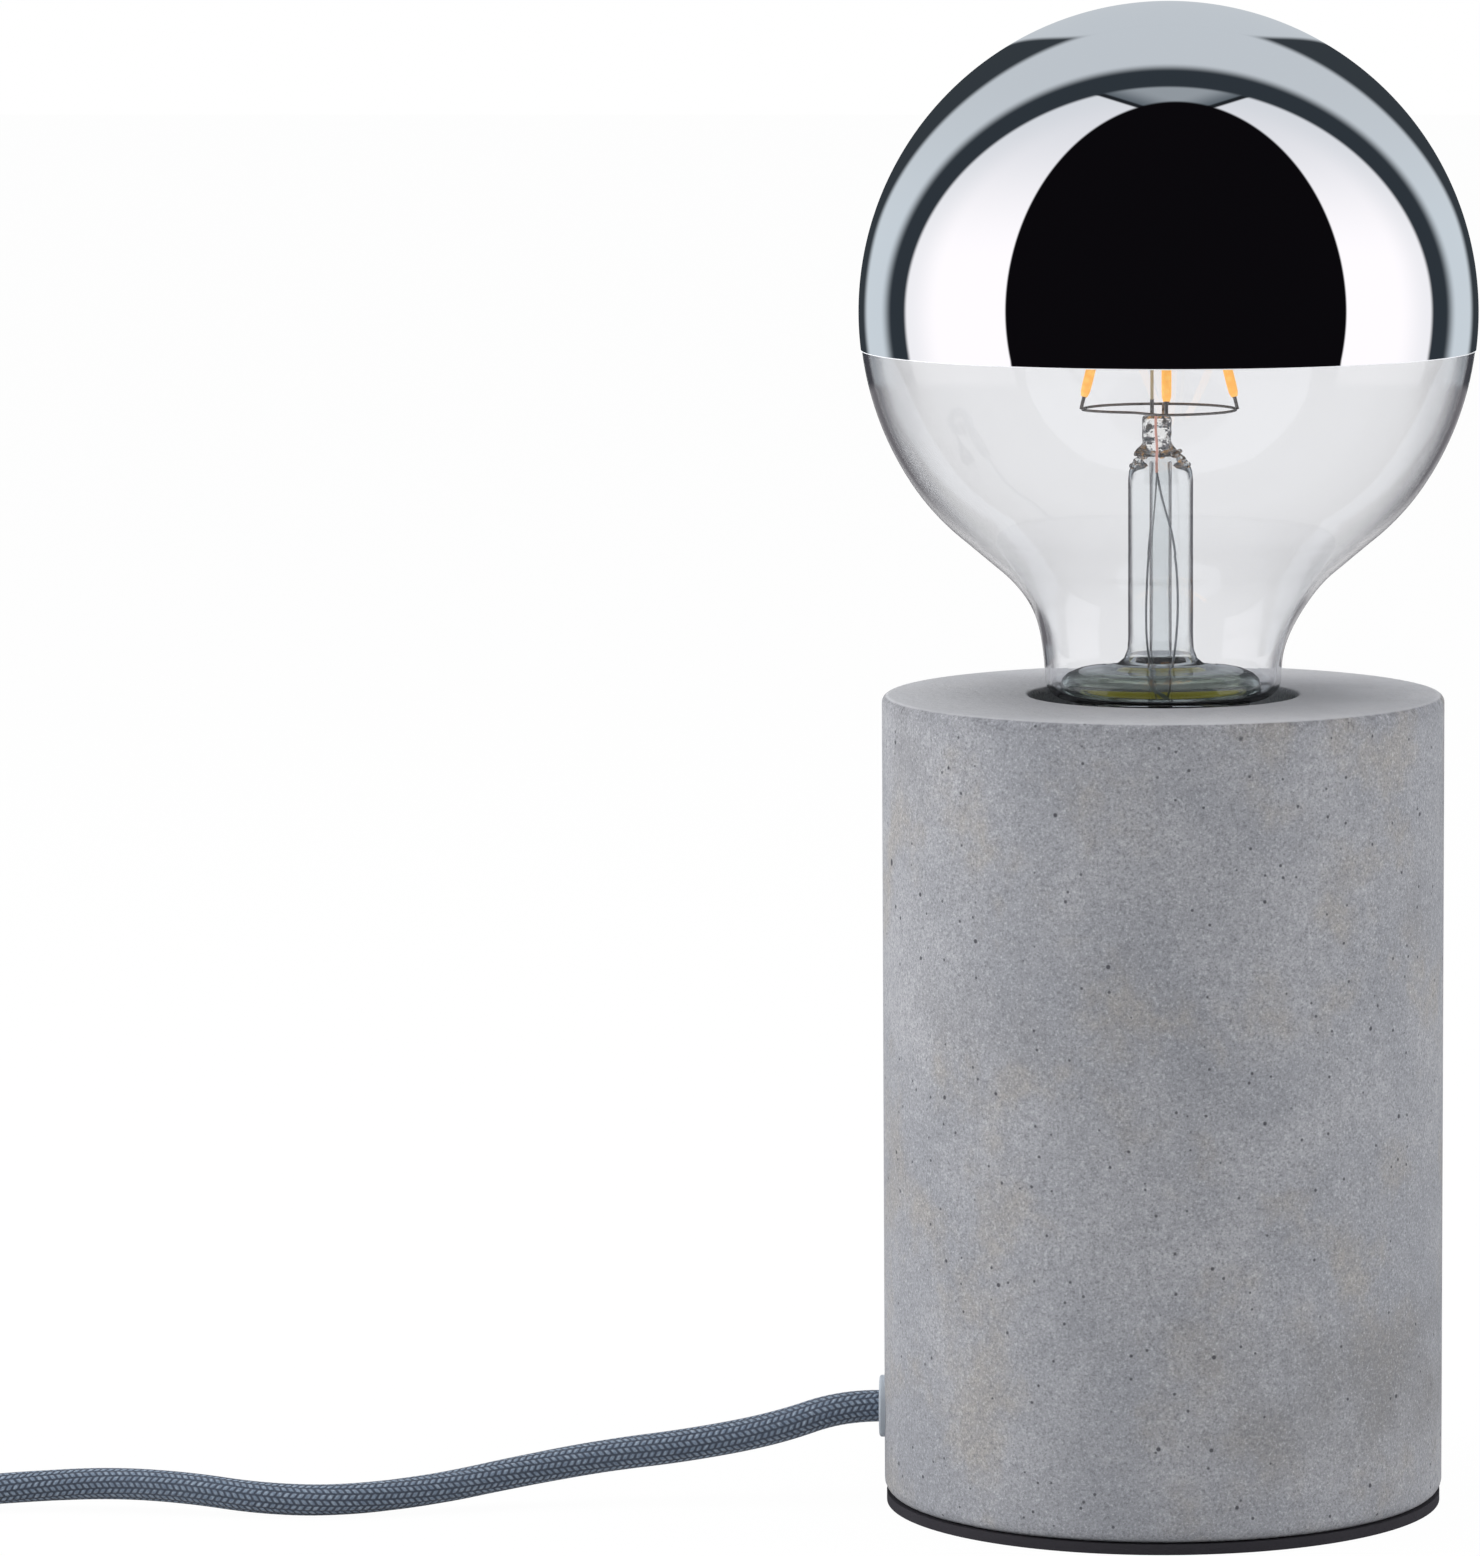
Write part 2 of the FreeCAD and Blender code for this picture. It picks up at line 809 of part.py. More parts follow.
def cap_insulator():
    return turned(
        "cap_insulator",
        (0, button_top),
        (half("button_d") + size("turn_gap"), button_top),
        (shell_low_r - size("insulator_step"), insulator_top - size("contact_t")),
        (shell_low_r - size("insulator_step"), insulator_top),
        (0, insulator_top),
    )


def cap_shell():
    wall = size("shell_wall")
    return turned(
        "cap_shell",
        (shell_low_r - wall, shell_low),
        (shell_low_r, shell_low),
        (shell_r, thread_low),
        (shell_r, thread_top),
        (collar_r, collar_low),
        (collar_r, cap_rim),
        (collar_r - wall, cap_rim),
        (collar_r - wall, collar_low),
        (shell_r - wall, thread_top),
        (shell_r - wall, thread_low),
    )


def cement_ring():
    inner = tail_r + size("fit_gap") / 2
    outer = collar_r - size("shell_wall") - size("fit_gap") / 2
    return turned(
        "cement_ring",
        (inner, collar_low + size("fit_gap")),
        (outer, collar_low + size("fit_gap")),
        (outer, cap_rim),
        (inner, cap_rim),
    )


def driver_board():
    """The round board in the cap, with its reservoir capacitor and rectifier on the underside."""
    level = cap_rim - size("board_drop")
    across = (shell_r - size("shell_wall") - size("turn_gap")) * 2
    disc = cylinder("board_disc", across, size("board_t"), 0, 0, level)
    capacitor = cylinder("board_capacitor", size("capacitor_d"), size("capacitor_h"),
                         half("capacitor_d"), 0, level - size("capacitor_h"))
    chip = box("board_chip", size("capacitor_h"), size("capacitor_d"), size("board_t") * 1.5,
               -size("capacitor_h") * 1.4, -half("capacitor_d"), level - size("board_t") * 1.5)
    return fused("driver_board", disc, capacitor, chip)


# ---------------------------------------------------------------- glass
neck_r = float(half("neck_d"))
globe_r = float(half("globe_d"))
throat_r = float(size("throat_r"))
lower_r = float(size("lower_r"))
lower_angle = math.radians(float(size("lower_angle")))
throat_angle = math.radians(float(size("throat_angle")))
throat_z = float(heel + size("heel_r") + size("neck_straight"))
# The middle of the globe, from the one line that is tangent to the lower arc and to the throat.
line_way = (math.sin(throat_angle), math.cos(throat_angle))
centre_shift = globe_r - lower_r
line_offset = (neck_r + throat_r) * line_way[0] - throat_z * line_way[1] - lower_r - throat_r
globe_z = (
    (centre_shift * math.sin(lower_angle) * line_way[0] - line_offset) / line_way[1]
    + centre_shift * math.cos(lower_angle)
)
print(f"globe middle {globe_z:.2f} mm, top {globe_z + globe_r:.2f} mm above the floor")


def on_circle(across, up, radius, angle):
    """A point at an angle up from straight down, round a centre in the XZ plane."""
    return Vector(across + radius * math.sin(angle), 0, up - radius * math.cos(angle))


def circle_arc(across, up, radius, first, last):
    ends = [on_circle(across, up, radius, angle) for angle in (first, (first + last) / 2, last)]
    return Part.Arc(*ends).toShape()


def envelope_side(inset):
    """The glass outline from the crown to the tail, offset inward by inset, as a chain of edges."""
    heel_r = float(size("heel_r"))
    neck = neck_r - inset
    heel_z = float(heel) + inset
    tail = float(tail_r) - inset
    tail_z = float(cap_rim - size("tail_h"))
    lower = on_circle(0, globe_z, centre_shift, lower_angle)
    lower_end = on_circle(lower.x, lower.z, lower_r - inset, throat_angle)
    throat = Vector(neck_r + throat_r, 0, throat_z)
    throat_start = on_circle(throat.x, throat.z, throat_r + inset, throat_angle + math.pi)
    heel_centre = Vector(neck_r - heel_r, 0, float(heel) + heel_r)
    heel_end = on_circle(heel_centre.x, heel_centre.z, heel_r - inset, 0)
    bend = float(size("heel_rise")) * 2 + inset
    corners = [
        Vector(neck, 0, throat_z),
        Vector(neck, 0, heel_centre.z),
        heel_end,
        Vector(tail + bend, 0, heel_z),
        Vector(tail, 0, heel_z - bend),
        Vector(tail, 0, tail_z),
    ]
    return [
        circle_arc(0, globe_z, globe_r - inset, math.pi, lower_angle),
        circle_arc(lower.x, lower.z, lower_r - inset, lower_angle, throat_angle),
        Part.LineSegment(lower_end, throat_start).toShape(),
        circle_arc(throat.x, throat.z, throat_r + inset, throat_angle + math.pi, 1.5 * math.pi),
        Part.LineSegment(corners[0], corners[1]).toShape(),
        circle_arc(heel_centre.x, heel_centre.z, heel_r - inset, math.pi / 2, 0),
        Part.LineSegment(corners[2], corners[3]).toShape(),
        circle_arc(corners[3].x, corners[4].z, bend, math.pi, 1.5 * math.pi),
        Part.LineSegment(corners[4], corners[5]).toShape(),
    ]


def glass_envelope():
    """The blown globe: crown, lower arc, throat, neck and the tail that the cap is cemented to."""
    wall = float(size("glass_t"))
    tail_z = float(cap_rim - size("tail_h"))
    tail = float(tail_r)
    outer = envelope_side(0)
    inner = envelope_side(wall)
    closing = [
        Part.LineSegment(Vector(0, 0, globe_z + globe_r), Vector(0, 0, globe_z + globe_r - wall)).toShape(),
        Part.LineSegment(Vector(tail, 0, tail_z), Vector(tail - wall, 0, tail_z)).toShape(),
    ]
    return computed("glass_envelope", revolved(outer + inner + closing))


def mirror_coating():
    """The silvered cap on the crown of the globe, down to just below its widest line."""
    inner_r = globe_r + float(size("coat_gap"))
    outer_r = inner_r + float(size("coat_t"))
    edge = math.acos(float(size("coat_drop")) / globe_r)
    outer = circle_arc(0, globe_z, outer_r, math.pi, edge)
    inner = circle_arc(0, globe_z, inner_r, math.pi, edge)
    crown = Part.LineSegment(Vector(0, 0, globe_z + outer_r), Vector(0, 0, globe_z + inner_r)).toShape()
    rim_ends = [on_circle(0, globe_z, radius, edge) for radius in (outer_r, inner_r)]
    rim = Part.LineSegment(*rim_ends).toShape()
    return computed("mirror_coating", revolved([outer, inner, crown, rim]))


def glass_stem():
    """The flare, the tube above it and the flat press that holds the wires."""
    tube_r = half("stem_d")
    wall = size("stem_wall")
    brow = flare_low + size("flare_rise")
    stem = turned(
        "glass_stem",
        (flare_r - wall, flare_low),
        (flare_r, flare_low),
        (flare_r - wall, brow, size("stem_wall") * 2),
        (tube_r, brow + size("flare_rise") / 2, size("stem_wall") * 3),
        (tube_r, stem_top),
        (half("press_w"), press_base),
        (0, press_base),
        (0, press_base - wall * 2),
        (half("exhaust_d"), press_base - wall * 2),
        (tube_r - wall, stem_top - wall),
        (tube_r - wall, brow + size("flare_rise") / 2 - wall),
        (flare_r - wall * 2, brow - wall),
    )
    across = half("press_w")
    along = half("press_l")
    sketch = new_sketch(stem, "press_outline", "XY_Plane", press_base - wall)
    draw(sketch, [
        (-across, -along, across * 0.8),
        (across, -along, across * 0.8),
        (across, along, across * 0.8),
        (-across, along, across * 0.8),
    ])
    press = stem.newObject("PartDesign::Pad", "press_pad")
    press.Profile = sketch
    press.Length = float(size("press_h") + wall)
    bind(press, {"Length": size("press_h") + wall})
    return stem


def exhaust_tube():
    """The pump-out tube within the stem, sealed to a tip inside the cap."""
    low = cap_rim - size("exhaust_tail")
    high = press_base - size("stem_wall") * 2
    radius = half("exhaust_d")
    bore = half("exhaust_bore_d")
    return turned(
        "exhaust_tube",
        (0, low),
        (bore, low + size("fit_gap")),
        (radius, low + size("exhaust_d")),
        (radius, high),
        (bore, high),
        (bore, low + size("exhaust_d")),
        (0, low + size("exhaust_d") / 2),
    )


# ---------------------------------------------------------------- filaments and wires
FILAMENTS = 4


def led_filament(number):
    """One filament bar with a tab at each end, leaning in towards the crown from the lower ring."""
    bar = turned(
        f"led_filament_{number + 1}",
        (0, -size("filament_lift")),
        (half("wire_d"), -size("filament_lift")),
        (half("wire_d"), 0),
        (half("filament_d"), 0, size("wire_d") * 0.8),
        (half("filament_d"), size("filament_l"), size("wire_d") * 0.8),
        (half("wire_d"), size("filament_l")),
        (half("wire_d"), size("filament_l") + size("filament_lift")),
        (0, size("filament_l") + size("filament_lift")),
    )
    angle = 360.0 * number / FILAMENTS
    lean = Rotation(Vector(0, 0, 1), angle) * Rotation(Vector(0, 1, 0), -float(size("filament_lean")))
    up = lean.multVec(Vector(0, 0, 1))
    ring_r = float(half("ring_d"))
    foot = Rotation(Vector(0, 0, 1), angle).multVec(Vector(ring_r, 0, float(ring_z + size("wire_d"))))
    bar.Placement = Placement(foot + up * float(size("filament_lift")), lean)
    return bar


def wire_ring(radius, z, wire):
    section = Part.Face(bar_section(Vector(radius, 0, z), Vector(0, 1, 0), wire))
    return section.revolve(Vector(), Vector(0, 0, 1), 360)


def filament_ring():
    """The lower wire ring that the filaments stand on, with a spoke to each side of the press."""
    wire = float(size("wire_d"))
    radius = float(half("ring_d"))
    z = float(ring_z)
    side = float(half("press_l"))
    shape = wire_ring(radius, z, wire)
    for way in (-1, 1):
        inner = side - wire * 2
        spoke = rod(Vector(0, way * inner, z), Vector(0, way, 0), radius - inner, wire)
        leg = rod(Vector(0, way * inner, float(press_top)), Vector(0, 0, 1), z - float(press_top), wire)
        shape = shape.fuse([spoke, leg])
    return computed("filament_ring", shape.removeSplitter())


def crown_level():
    """Height and radius at which the tops of the filaments meet the upper ring."""
    lean = math.radians(float(size("filament_lean")))
    length = float(size("filament_l") + size("filament_lift") * 2)
    radius = float(half("ring_d")) - length * math.sin(lean)
    z = float(ring_z + size("wire_d")) + length * math.cos(lean) + float(size("wire_d"))
    return radius, z


def filament_crown():
    wire = float(size("wire_d"))
    radius, z = crown_level()
    support = float(size("support_x"))
    bar = rod(Vector(-radius, 0, z), Vector(1, 0, 0), radius * 2, wire)
    shape = wire_ring(radius, z, wire).fuse(bar)
    print(f"filament crown: radius {radius:.2f} mm at {z:.1f} mm; support wire at {support:.2f} mm")
    return computed("filament_crown", shape.removeSplitter())


def support_wire():
    """The straight wire from the press to the upper ring."""
    z = crown_level()[1]
    wire = float(size("wire_d"))
    low = float(press_top)
    foot = Vector(-float(size("support_x")), 0, low)
    return computed("support_wire", rod(foot, Vector(0, 0, 1), z - wire / 2 - low, wire))


def lead_wire(number):
    """A wire from the foot of the press down through the stem to the board, clear of the pump tube."""
    side = 1 if number else -1
    orbit = (float(half("stem_d") - size("stem_wall")) + float(half("exhaust_d"))) / 2
    top = float(stem_top) - 0.5
    bottom = float(cap_rim - size("board_drop") + size("board_t"))
    drop = top - bottom
    waypoints = (
        (-25, top),
        (-55, top - drop * 0.18),
        (-75, top - drop * 0.36),
        (-68, top - drop * 0.52),
        (-35, top - drop * 0.86),
        (-20, bottom),
    )
    points = []
    for degrees, z in waypoints:
        angle = math.radians(degrees - 90 + 90 * side + 90)
        points.append((orbit * math.cos(angle), orbit * math.sin(angle), z))
    return tube(f"lead_wire_{number + 1}", points, size("wire_d"))


# ---------------------------------------------------------------- lead outside the lamp
# The lead's route, by hand: out of the grommet, down to the floor and away to the left.
run_start = float(half("body_d") + size("grommet_flange_t"))
switch_z = half("switch_h")
RUN = [
    (-run_start, 0, float(size("exit_z"))),
    (-50, 0, float(size("exit_z"))),
    (-60, -0.9, 11.0),
    (-73, -2.2, 8.7),
    (-87, -4.0, 7.3),
    (-100, -6.6, 5.3),
    (-113, -10.6, 3.2),
    (-127, -15.2, 2.5),
    (-139, -14.2, 2.7),
    (-150, -11.5, 3.8),
    (-162, -9.4, 4.2),
    (-175, -8.8, 3.5),
    (-188, -9.5, 2.6),
    (-200, -11.2, 2.6),
    (-211, -12.7, 5.4),
    (-221, -float(size("switch_y")), float(switch_z)),
    (-float(size("switch_x") + size("cord_entry")), -float(size("switch_y")), float(switch_z)),
]
coil_base = half("cord_d") + size("tie_t")
coil_in_y = float(size("coil_y") - size("coil_r"))
coil_out_y = float(size("coil_y") + size("coil_r"))
coil_end_x = -float(size("coil_x") - size("cord_d"))
coil_top = coil_base + size("layer_pitch")
switch_end = size("switch_x") + size("switch_l")
LINK = [
    (-float(switch_end - size("cord_entry")), -float(size("switch_y")), float(switch_z)),
    (-298, -float(size("switch_y")), float(switch_z)),
    (-307, -14.8, 6.3),
    (-315.2, -20.0, 4.3),
    (-322.5, -25.0, 3.5),
    (-330, coil_in_y, float(coil_base)),
    (coil_end_x, coil_in_y, float(coil_base)),
]
plug_z = half("plug_t")
TAIL = [
    (coil_end_x, coil_out_y, float(coil_top)),
    (-331, coil_out_y, float(coil_top)),
    (-324, 54.6, 8.6),
    (-316.6, 51.4, 7.7),
    (-309.6, 46.2, 7.1),
    (-303.2, 41.9, 6.9),
    (-296.5, float(size("plug_y")), float(plug_z)),
    (-float(size("plug_x") + size("relief_l")), float(size("plug_y")), float(plug_z)),
]


def coil_place(turns):
    """A point of the coil's line: in along the lower layer, up, and out along the upper one."""
    lap = float(size("coil_turns"))
    pitch = float(size("coil_pitch"))
    inner = float(size("coil_r")) - pitch * lap
    climb = 0.5
    if turns <= lap:
        radius = float(size("coil_r")) - pitch * turns
        rise = 0.0
    elif turns >= lap + climb:
        radius = inner + pitch * (turns - lap - climb)
        rise = 1.0
    else:
        done = turns - lap
        radius = inner - pitch * (done - done * done / climb)
        share = done / climb
        rise = share * share * (3 - 2 * share)
    angle = -math.pi / 2 - 2 * math.pi * turns
    return Vector(
        -float(size("coil_x")) + radius * math.cos(angle),
        float(size("coil_y")) + radius * math.sin(angle),
        float(coil_base) + float(size("layer_pitch")) * rise,
    )


def coil_way(turns, step=1e-4):
    """The direction of the coil's line; its two ends run straight along X."""
    total = float(size("coil_turns")) * 2 + 0.5
    if turns < step:
        return Vector(-1, 0, 0)
    if turns > total - step:
        return Vector(1, 0, 0)
    return (coil_place(turns + step) - coil_place(turns - step)).normalize()


def bow(start, way, end):
    """The middle of the arc that leaves start along way and reaches end."""
    chord = end - start
    side = (way - chord * (way.dot(chord) / chord.dot(chord))).normalize()
    return (start + end) / 2 + side * (chord.Length / 2 * math.tan(way.getAngle(chord) / 2))


def biarc(start, way_in, end, way_out):
    """Two tangent arcs from start to end that leave and arrive along the given directions."""
    chord = end - start
    along = chord.dot(way_in + way_out)
    spare = 2 * (1 - way_in.dot(way_out))
    reach = (math.sqrt(along ** 2 + spare * chord.dot(chord)) - along) / spare
    joint = (start + end + (way_in - way_out) * reach) / 2
    return [
        Part.Arc(start, bow(start, way_in, joint), joint).toShape(),
        Part.Arc(joint, bow(end, way_out * -1, joint), end).toShape(),
    ]


def coil_edges():
    total = float(size("coil_turns")) * 2 + 0.5
    quarters = int(round(total * 4))
    places = [coil_place(total * i / quarters) for i in range(quarters + 1)]
    ways = [coil_way(total * i / quarters) for i in range(quarters + 1)]
    straight = float(size("cord_d"))
    edges = [Part.LineSegment(places[0] - ways[0] * straight, places[0]).toShape()]
    for i in range(quarters):
        edges += biarc(places[i], ways[i], places[i + 1], ways[i + 1])
    edges.append(Part.LineSegment(places[-1], places[-1] + ways[-1] * straight).toShape())
    return edges


def least_gap(edges, diameter):
    """The least distance between the surfaces of two turns, measured on points along the line."""
    points = []
    along = 0.0
    for edge in edges:
        count = max(2, int(edge.Length / 2))
        for i in range(count):
            share = i / count
            points.append((along + edge.Length * share, edge.valueAt(
                edge.FirstParameter + (edge.LastParameter - edge.FirstParameter) * share)))
        along += edge.Length
    least = math.inf
    apart = 8 * diameter
    for i, (here, place) in enumerate(points):
        for there, other in points[i + 1:]:
            if there - here > apart:
                least = min(least, (place - other).Length)
    return least - diameter


def flex_coil():
    edges = coil_edges()
    diameter = float(size("cord_d"))
    bar = swept(edges, diameter)
    length = sum(edge.Length for edge in edges)
    share = bar.Volume / (section_area(diameter) * length)
    print(f"flex_coil: {length:.1f} mm, volume {share:.4f} of its section, "
          f"least gap {least_gap(edges, diameter):.2f} mm")
    return computed("flex_coil", bar)


def coil_tie():
    """A flat strap round the bundle of turns, where it lies nearest the lamp."""
    gap = size("tie_gap")
    inner_r = coil_place(float(size("coil_turns")) + 0.25).x + float(size("coil_x") - half("cord_d"))
    low_x = as_size(math.sqrt(inner_r ** 2 - float(half("tie_w")) ** 2)) - size("coil_x") - gap
    length = as_size(coil_place(0.75).x) + half("cord_d") + gap - low_x
    height = size("layer_pitch") + size("cord_d") + gap
    opening = box("tie_opening", length, size("tie_w"), height,
                  low_x, size("coil_y") - half("tie_w"), size("tie_t"))
    strap = box("tie_strap", length + size("tie_t") * 2, size("tie_w"), height + size("tie_t") * 2,
                low_x - size("tie_t"), size("coil_y") - half("tie_w"), 0)
    return cut("coil_tie", strap, opening)


# ---------------------------------------------------------------- inline switch
switch_mid_x = size("switch_x") + half("switch_l")
rocker_axis_z = size("switch_h") - size("rocker_axis_drop")


def switch_outline(inset):
    """Corners of the switch's rounded outline seen from above, inset by a wall."""
    across = half("switch_l") - inset
    deep = half("switch_w") - inset
    corner = size("switch_corner") - inset
    return [
        (-across, -deep, corner),
        (across, -deep, corner),
        (across, deep, corner),
        (-across, deep, corner),
    ]


def switch_block(name, inset, low, high):
    body = padded(name, "XY_Plane", switch_outline(inset), as_size(high) - as_size(low), lift=low)
    return put(body, -switch_mid_x, -size("switch_y"), 0)


def bevelled(name, solid, z, radius):
    """Bevels the outer edges of a switch half at the height z."""
    doc.recompute()
    edges = [
        number + 1
        for number, edge in enumerate(solid.Shape.Edges)
        if all(abs(vertex.Z - z) < 1e-4 for vertex in edge.Vertexes)
    ]
    eased = doc.addObject("Part::Chamfer", name)
    eased.Base = solid
    eased.Edges = [(number, radius, radius) for number in edges]
    return eased


def cord_holes(name):
    """The two holes where the lead enters and leaves the switch."""
    reach = size("switch_l") + size("switch_wall")
    return cylinder(name, size("cord_d") + size("fit_gap") * 2, reach,
                    -size("switch_x") + size("switch_wall") / 2, -size("switch_y"), switch_z, TOWARDS_LEAD)


def pillars(name, diameter, low, high):
    return [
        cylinder(f"{name}_{side}", diameter, as_size(high) - as_size(low),
                 -switch_mid_x + size("screw_spread") * side, -size("switch_y"), low)
        for side in (-1, 1)
    ]


def switch_lower():
    outer = bevelled("switch_lower_outer", switch_block("switch_lower_blank", 0, 0, switch_z),
                   0.0, float(size("switch_edge")))
    hollow = switch_block("switch_lower_hollow", size("switch_wall"), size("switch_wall"), switch_z)
    shell = fused("switch_lower_shell", cut("switch_lower_tray", outer, hollow),
                  *pillars("switch_lower_pillar", size("pillar_d"), size("switch_wall") / 2, switch_z))
    heads = pillars("switch_lower_sink", size("screw_head_d") + size("fit_gap") * 2, 0, size("screw_head_h"))
    shanks = pillars("switch_lower_bore", size("screw_d") + size("fit_gap"), 0, switch_z)
    return cut("switch_lower", shell, cord_holes("switch_lower_cord"), *heads, *shanks)


def switch_upper():
    top = size("switch_h")
    outer = bevelled("switch_upper_outer", switch_block("switch_upper_blank", 0, switch_z, top),
                   float(top), float(size("switch_edge")))
    roof = top - size("switch_wall")
    hollow = switch_block("switch_upper_hollow", size("switch_wall"), switch_z, roof)
    window_l = size("rocker_r") + size("rocker_gap")
    window_w = half("rocker_w") + size("rocker_gap")
    window = box("switch_window", window_l * 2, window_w * 2, size("switch_h"),
                 -switch_mid_x - window_l, -size("switch_y") - window_w, roof - size("switch_wall"))
    cheek_low = rocker_axis_z - size("rocker_pin_d") * 1.5
    cheeks = [
        box(f"switch_cheek_{side}", size("rocker_pin_d") * 3, size("cheek_t"),
            roof - cheek_low + size("fit_gap"), -switch_mid_x - size("rocker_pin_d") * 1.5,
            -size("switch_y") + window_w * side - (size("cheek_t") if side < 0 else 0), cheek_low)
        for side in (-1, 1)
    ]
    shell = fused("switch_upper_shell", cut("switch_upper_cover", outer, hollow), *cheeks,
                  *pillars("switch_upper_pillar", size("pillar_d"), switch_z, roof + size("switch_wall") / 2))
    bore = rocker_rod("switch_pin_bore", size("rocker_pin_d"), window_w + size("cheek_t"))
    shanks = pillars("switch_upper_bore", size("screw_d") + size("fit_gap"),
                     switch_z, switch_z + size("screw_d") * 2)
    return cut("switch_upper", shell, window, cord_holes("switch_upper_cord"), bore, *shanks)


ACROSS = Rotation(Vector(0, 0, 1), Vector(0, 1, 0))


def rocker_rod(name, diameter, reach):
    """A rod on the rocker's axis, reaching equally far on both sides."""
    return cylinder(name, diameter, as_size(reach) * 2, -switch_mid_x,
                    -size("switch_y") - reach, rocker_axis_z, ACROSS)


def switch_rocker():
    """The rocker key, shown switched off: dished on top and tipped about its pin."""
    end_x = size("rocker_r") - size("rocker_dish") / 3
    end_z = size("rocker_dish") + size("rocker_rise")
    key = padded(
        "rocker_blank",
        "XZ_Plane",
        [
            (-end_x, end_z, size("rocker_round")),
            (-end_x + size("rocker_round"), -size("rocker_dish")),
            (end_x - size("rocker_round"), -size("rocker_dish")),
            (end_x, end_z, size("rocker_round")),
            (0, size("rocker_dish")),
        ],
        size("rocker_w"),
        midplane=True,
    )
    put(key, -switch_mid_x, -size("switch_y"), rocker_axis_z,
        Rotation(Vector(0, 1, 0), float(size("rocker_tilt"))))
    bore = rocker_rod("rocker_bore", size("rocker_pin_d") + size("fit_gap"), size("rocker_w"))
    return cut("switch_rocker", key, bore)


def rocker_pin():
    reach = half("rocker_w") + size("rocker_gap") + size("cheek_t")
    return rocker_rod("rocker_pin", size("rocker_pin_d"), reach)


def switch_screws():
    """Two screws up through the lower half into the pillars of the upper half."""
    top = switch_z + size("screw_d") * 2
    shanks = pillars("switch_shank", size("screw_d"), size("screw_head_h"), top)
    heads = [
        slotted_head(f"switch_head_{side}", size("screw_head_d"), size("screw_head_h"),
                     -switch_mid_x + size("screw_spread") * side, -size("switch_y"), 0, down=True)
        for side in (-1, 1)
    ]
    screws = [fused(f"switch_screw_{i}", shank, head) for i, (shank, head) in enumerate(zip(shanks, heads))]
    return grouped("switch_screws", *screws)


def switch_contacts():
    """Two brass strips on the floor of the switch, bent up under the rocker's ends."""
    floor = size("switch_wall")
    strips = []
    for side in (-1, 1):
        near = size("contact_w") * 0.6
        far = size("screw_spread") - half("pillar_d") - size("turn_gap")
        foot = box(f"switch_strip_foot_{side}", far - near, size("contact_w"), size("contact_t"),
                   -switch_mid_x + (near if side > 0 else -far), -size("switch_y") - half("contact_w"), floor)
        post = box(f"switch_strip_post_{side}", size("contact_t"), size("contact_w"), half("switch_h") * 0.75,
                   -switch_mid_x + (near if side > 0 else -near - size("contact_t")),
                   -size("switch_y") - half("contact_w"), floor)
        strips.append(fused(f"switch_strip_{side}", foot, post))
    return grouped("switch_contacts", *strips)


# ---------------------------------------------------------------- flat plug
TOWARDS_LAMP = Rotation(Vector(0, 0, 1), Vector(1, 0, 0))


def rounded_section(x, half_w, half_t, corner):
    """A rounded rectangle square to X, as a wire."""
    places = [(-half_w, -half_t), (half_w, -half_t), (half_w, half_t), (-half_w, half_t)]
    points = [Vector(x, y, z) for y, z in places]
    edges = []
    for i in range(4):
        here = points[i]
        after = points[(i + 1) % 4]
        beyond = points[(i + 2) % 4]
        way = (after - here).normalize()
        arc = corner_arc(after, way, (beyond - after).normalize(), corner)
        edges.append(Part.LineSegment(here + way * corner, arc.StartPoint).toShape())
        edges.append(arc.toShape())
    return Part.Wire(edges)


def plug_body():
    """The moulded plug: a flat face block that narrows to a waisted grip at the lead."""
    back = -float(size("plug_x"))
    length = float(size("plug_l"))
    face_l = float(size("plug_face_l"))
    half_w = float(half("plug_w"))
    half_t = float(half("plug_t"))
    tail_w = float(half("plug_tail_w"))
    tail_t = float(half("plug_tail_t"))
    corner = half_t * 0.8
    tail_corner = tail_t * 0.8
    front = back + length
    waist = back + (length - face_l) * 0.45
    grip = [
        rounded_section(front - face_l, half_w, half_t, corner),
        rounded_section(waist, (half_w + tail_w) / 2.2, half_t * 0.86, corner * 0.86),
        rounded_section(back, tail_w, tail_t, tail_corner),
    ]
    block = [rounded_section(front, half_w, half_t, corner), grip[0]]
    shape = Part.makeLoft(block, True, True).fuse(Part.makeLoft(grip, True, False)).removeSplitter()
    shape.translate(Vector(0, float(size("plug_y")), float(plug_z)))
    return computed("plug_body", shape)


def pin_place(piece, side, x):
    return put(piece, x, size("plug_y") + size("pin_spread") * side, plug_z, TOWARDS_LAMP)


plug_face_x = size("plug_l") - size("plug_x")


def plug_pins():
    pins = []
    for side in (-1, 1):
        pin = turned(
            f"plug_pin_{side}",
            (0, 0),
            (half("pin_d") - size("pin_core_step"), 0),
            (half("pin_d") - size("pin_core_step"), size("pin_sleeve_l")),
            (half("pin_d"), size("pin_sleeve_l")),
            (half("pin_d"), size("pin_l"), half("pin_d") * 0.8),
            (0, size("pin_l")),
        )
        pins.append(pin_place(pin, side, plug_face_x))
    return grouped("plug_pins", *pins)


def pin_sleeves():
    sleeves = []
    bore = half("pin_d") - size("pin_core_step") + size("fit_gap") / 2
    for side in (-1, 1):
        sleeve = turned(
            f"pin_sleeve_{side}",
            (bore, 0),
            (half("pin_d"), 0),
            (half("pin_d"), size("pin_sleeve_l")),
            (bore, size("pin_sleeve_l")),
        )
        sleeves.append(pin_place(sleeve, side, plug_face_x))
    return grouped("pin_sleeves", *sleeves)


RELIEF_RIBS = 4


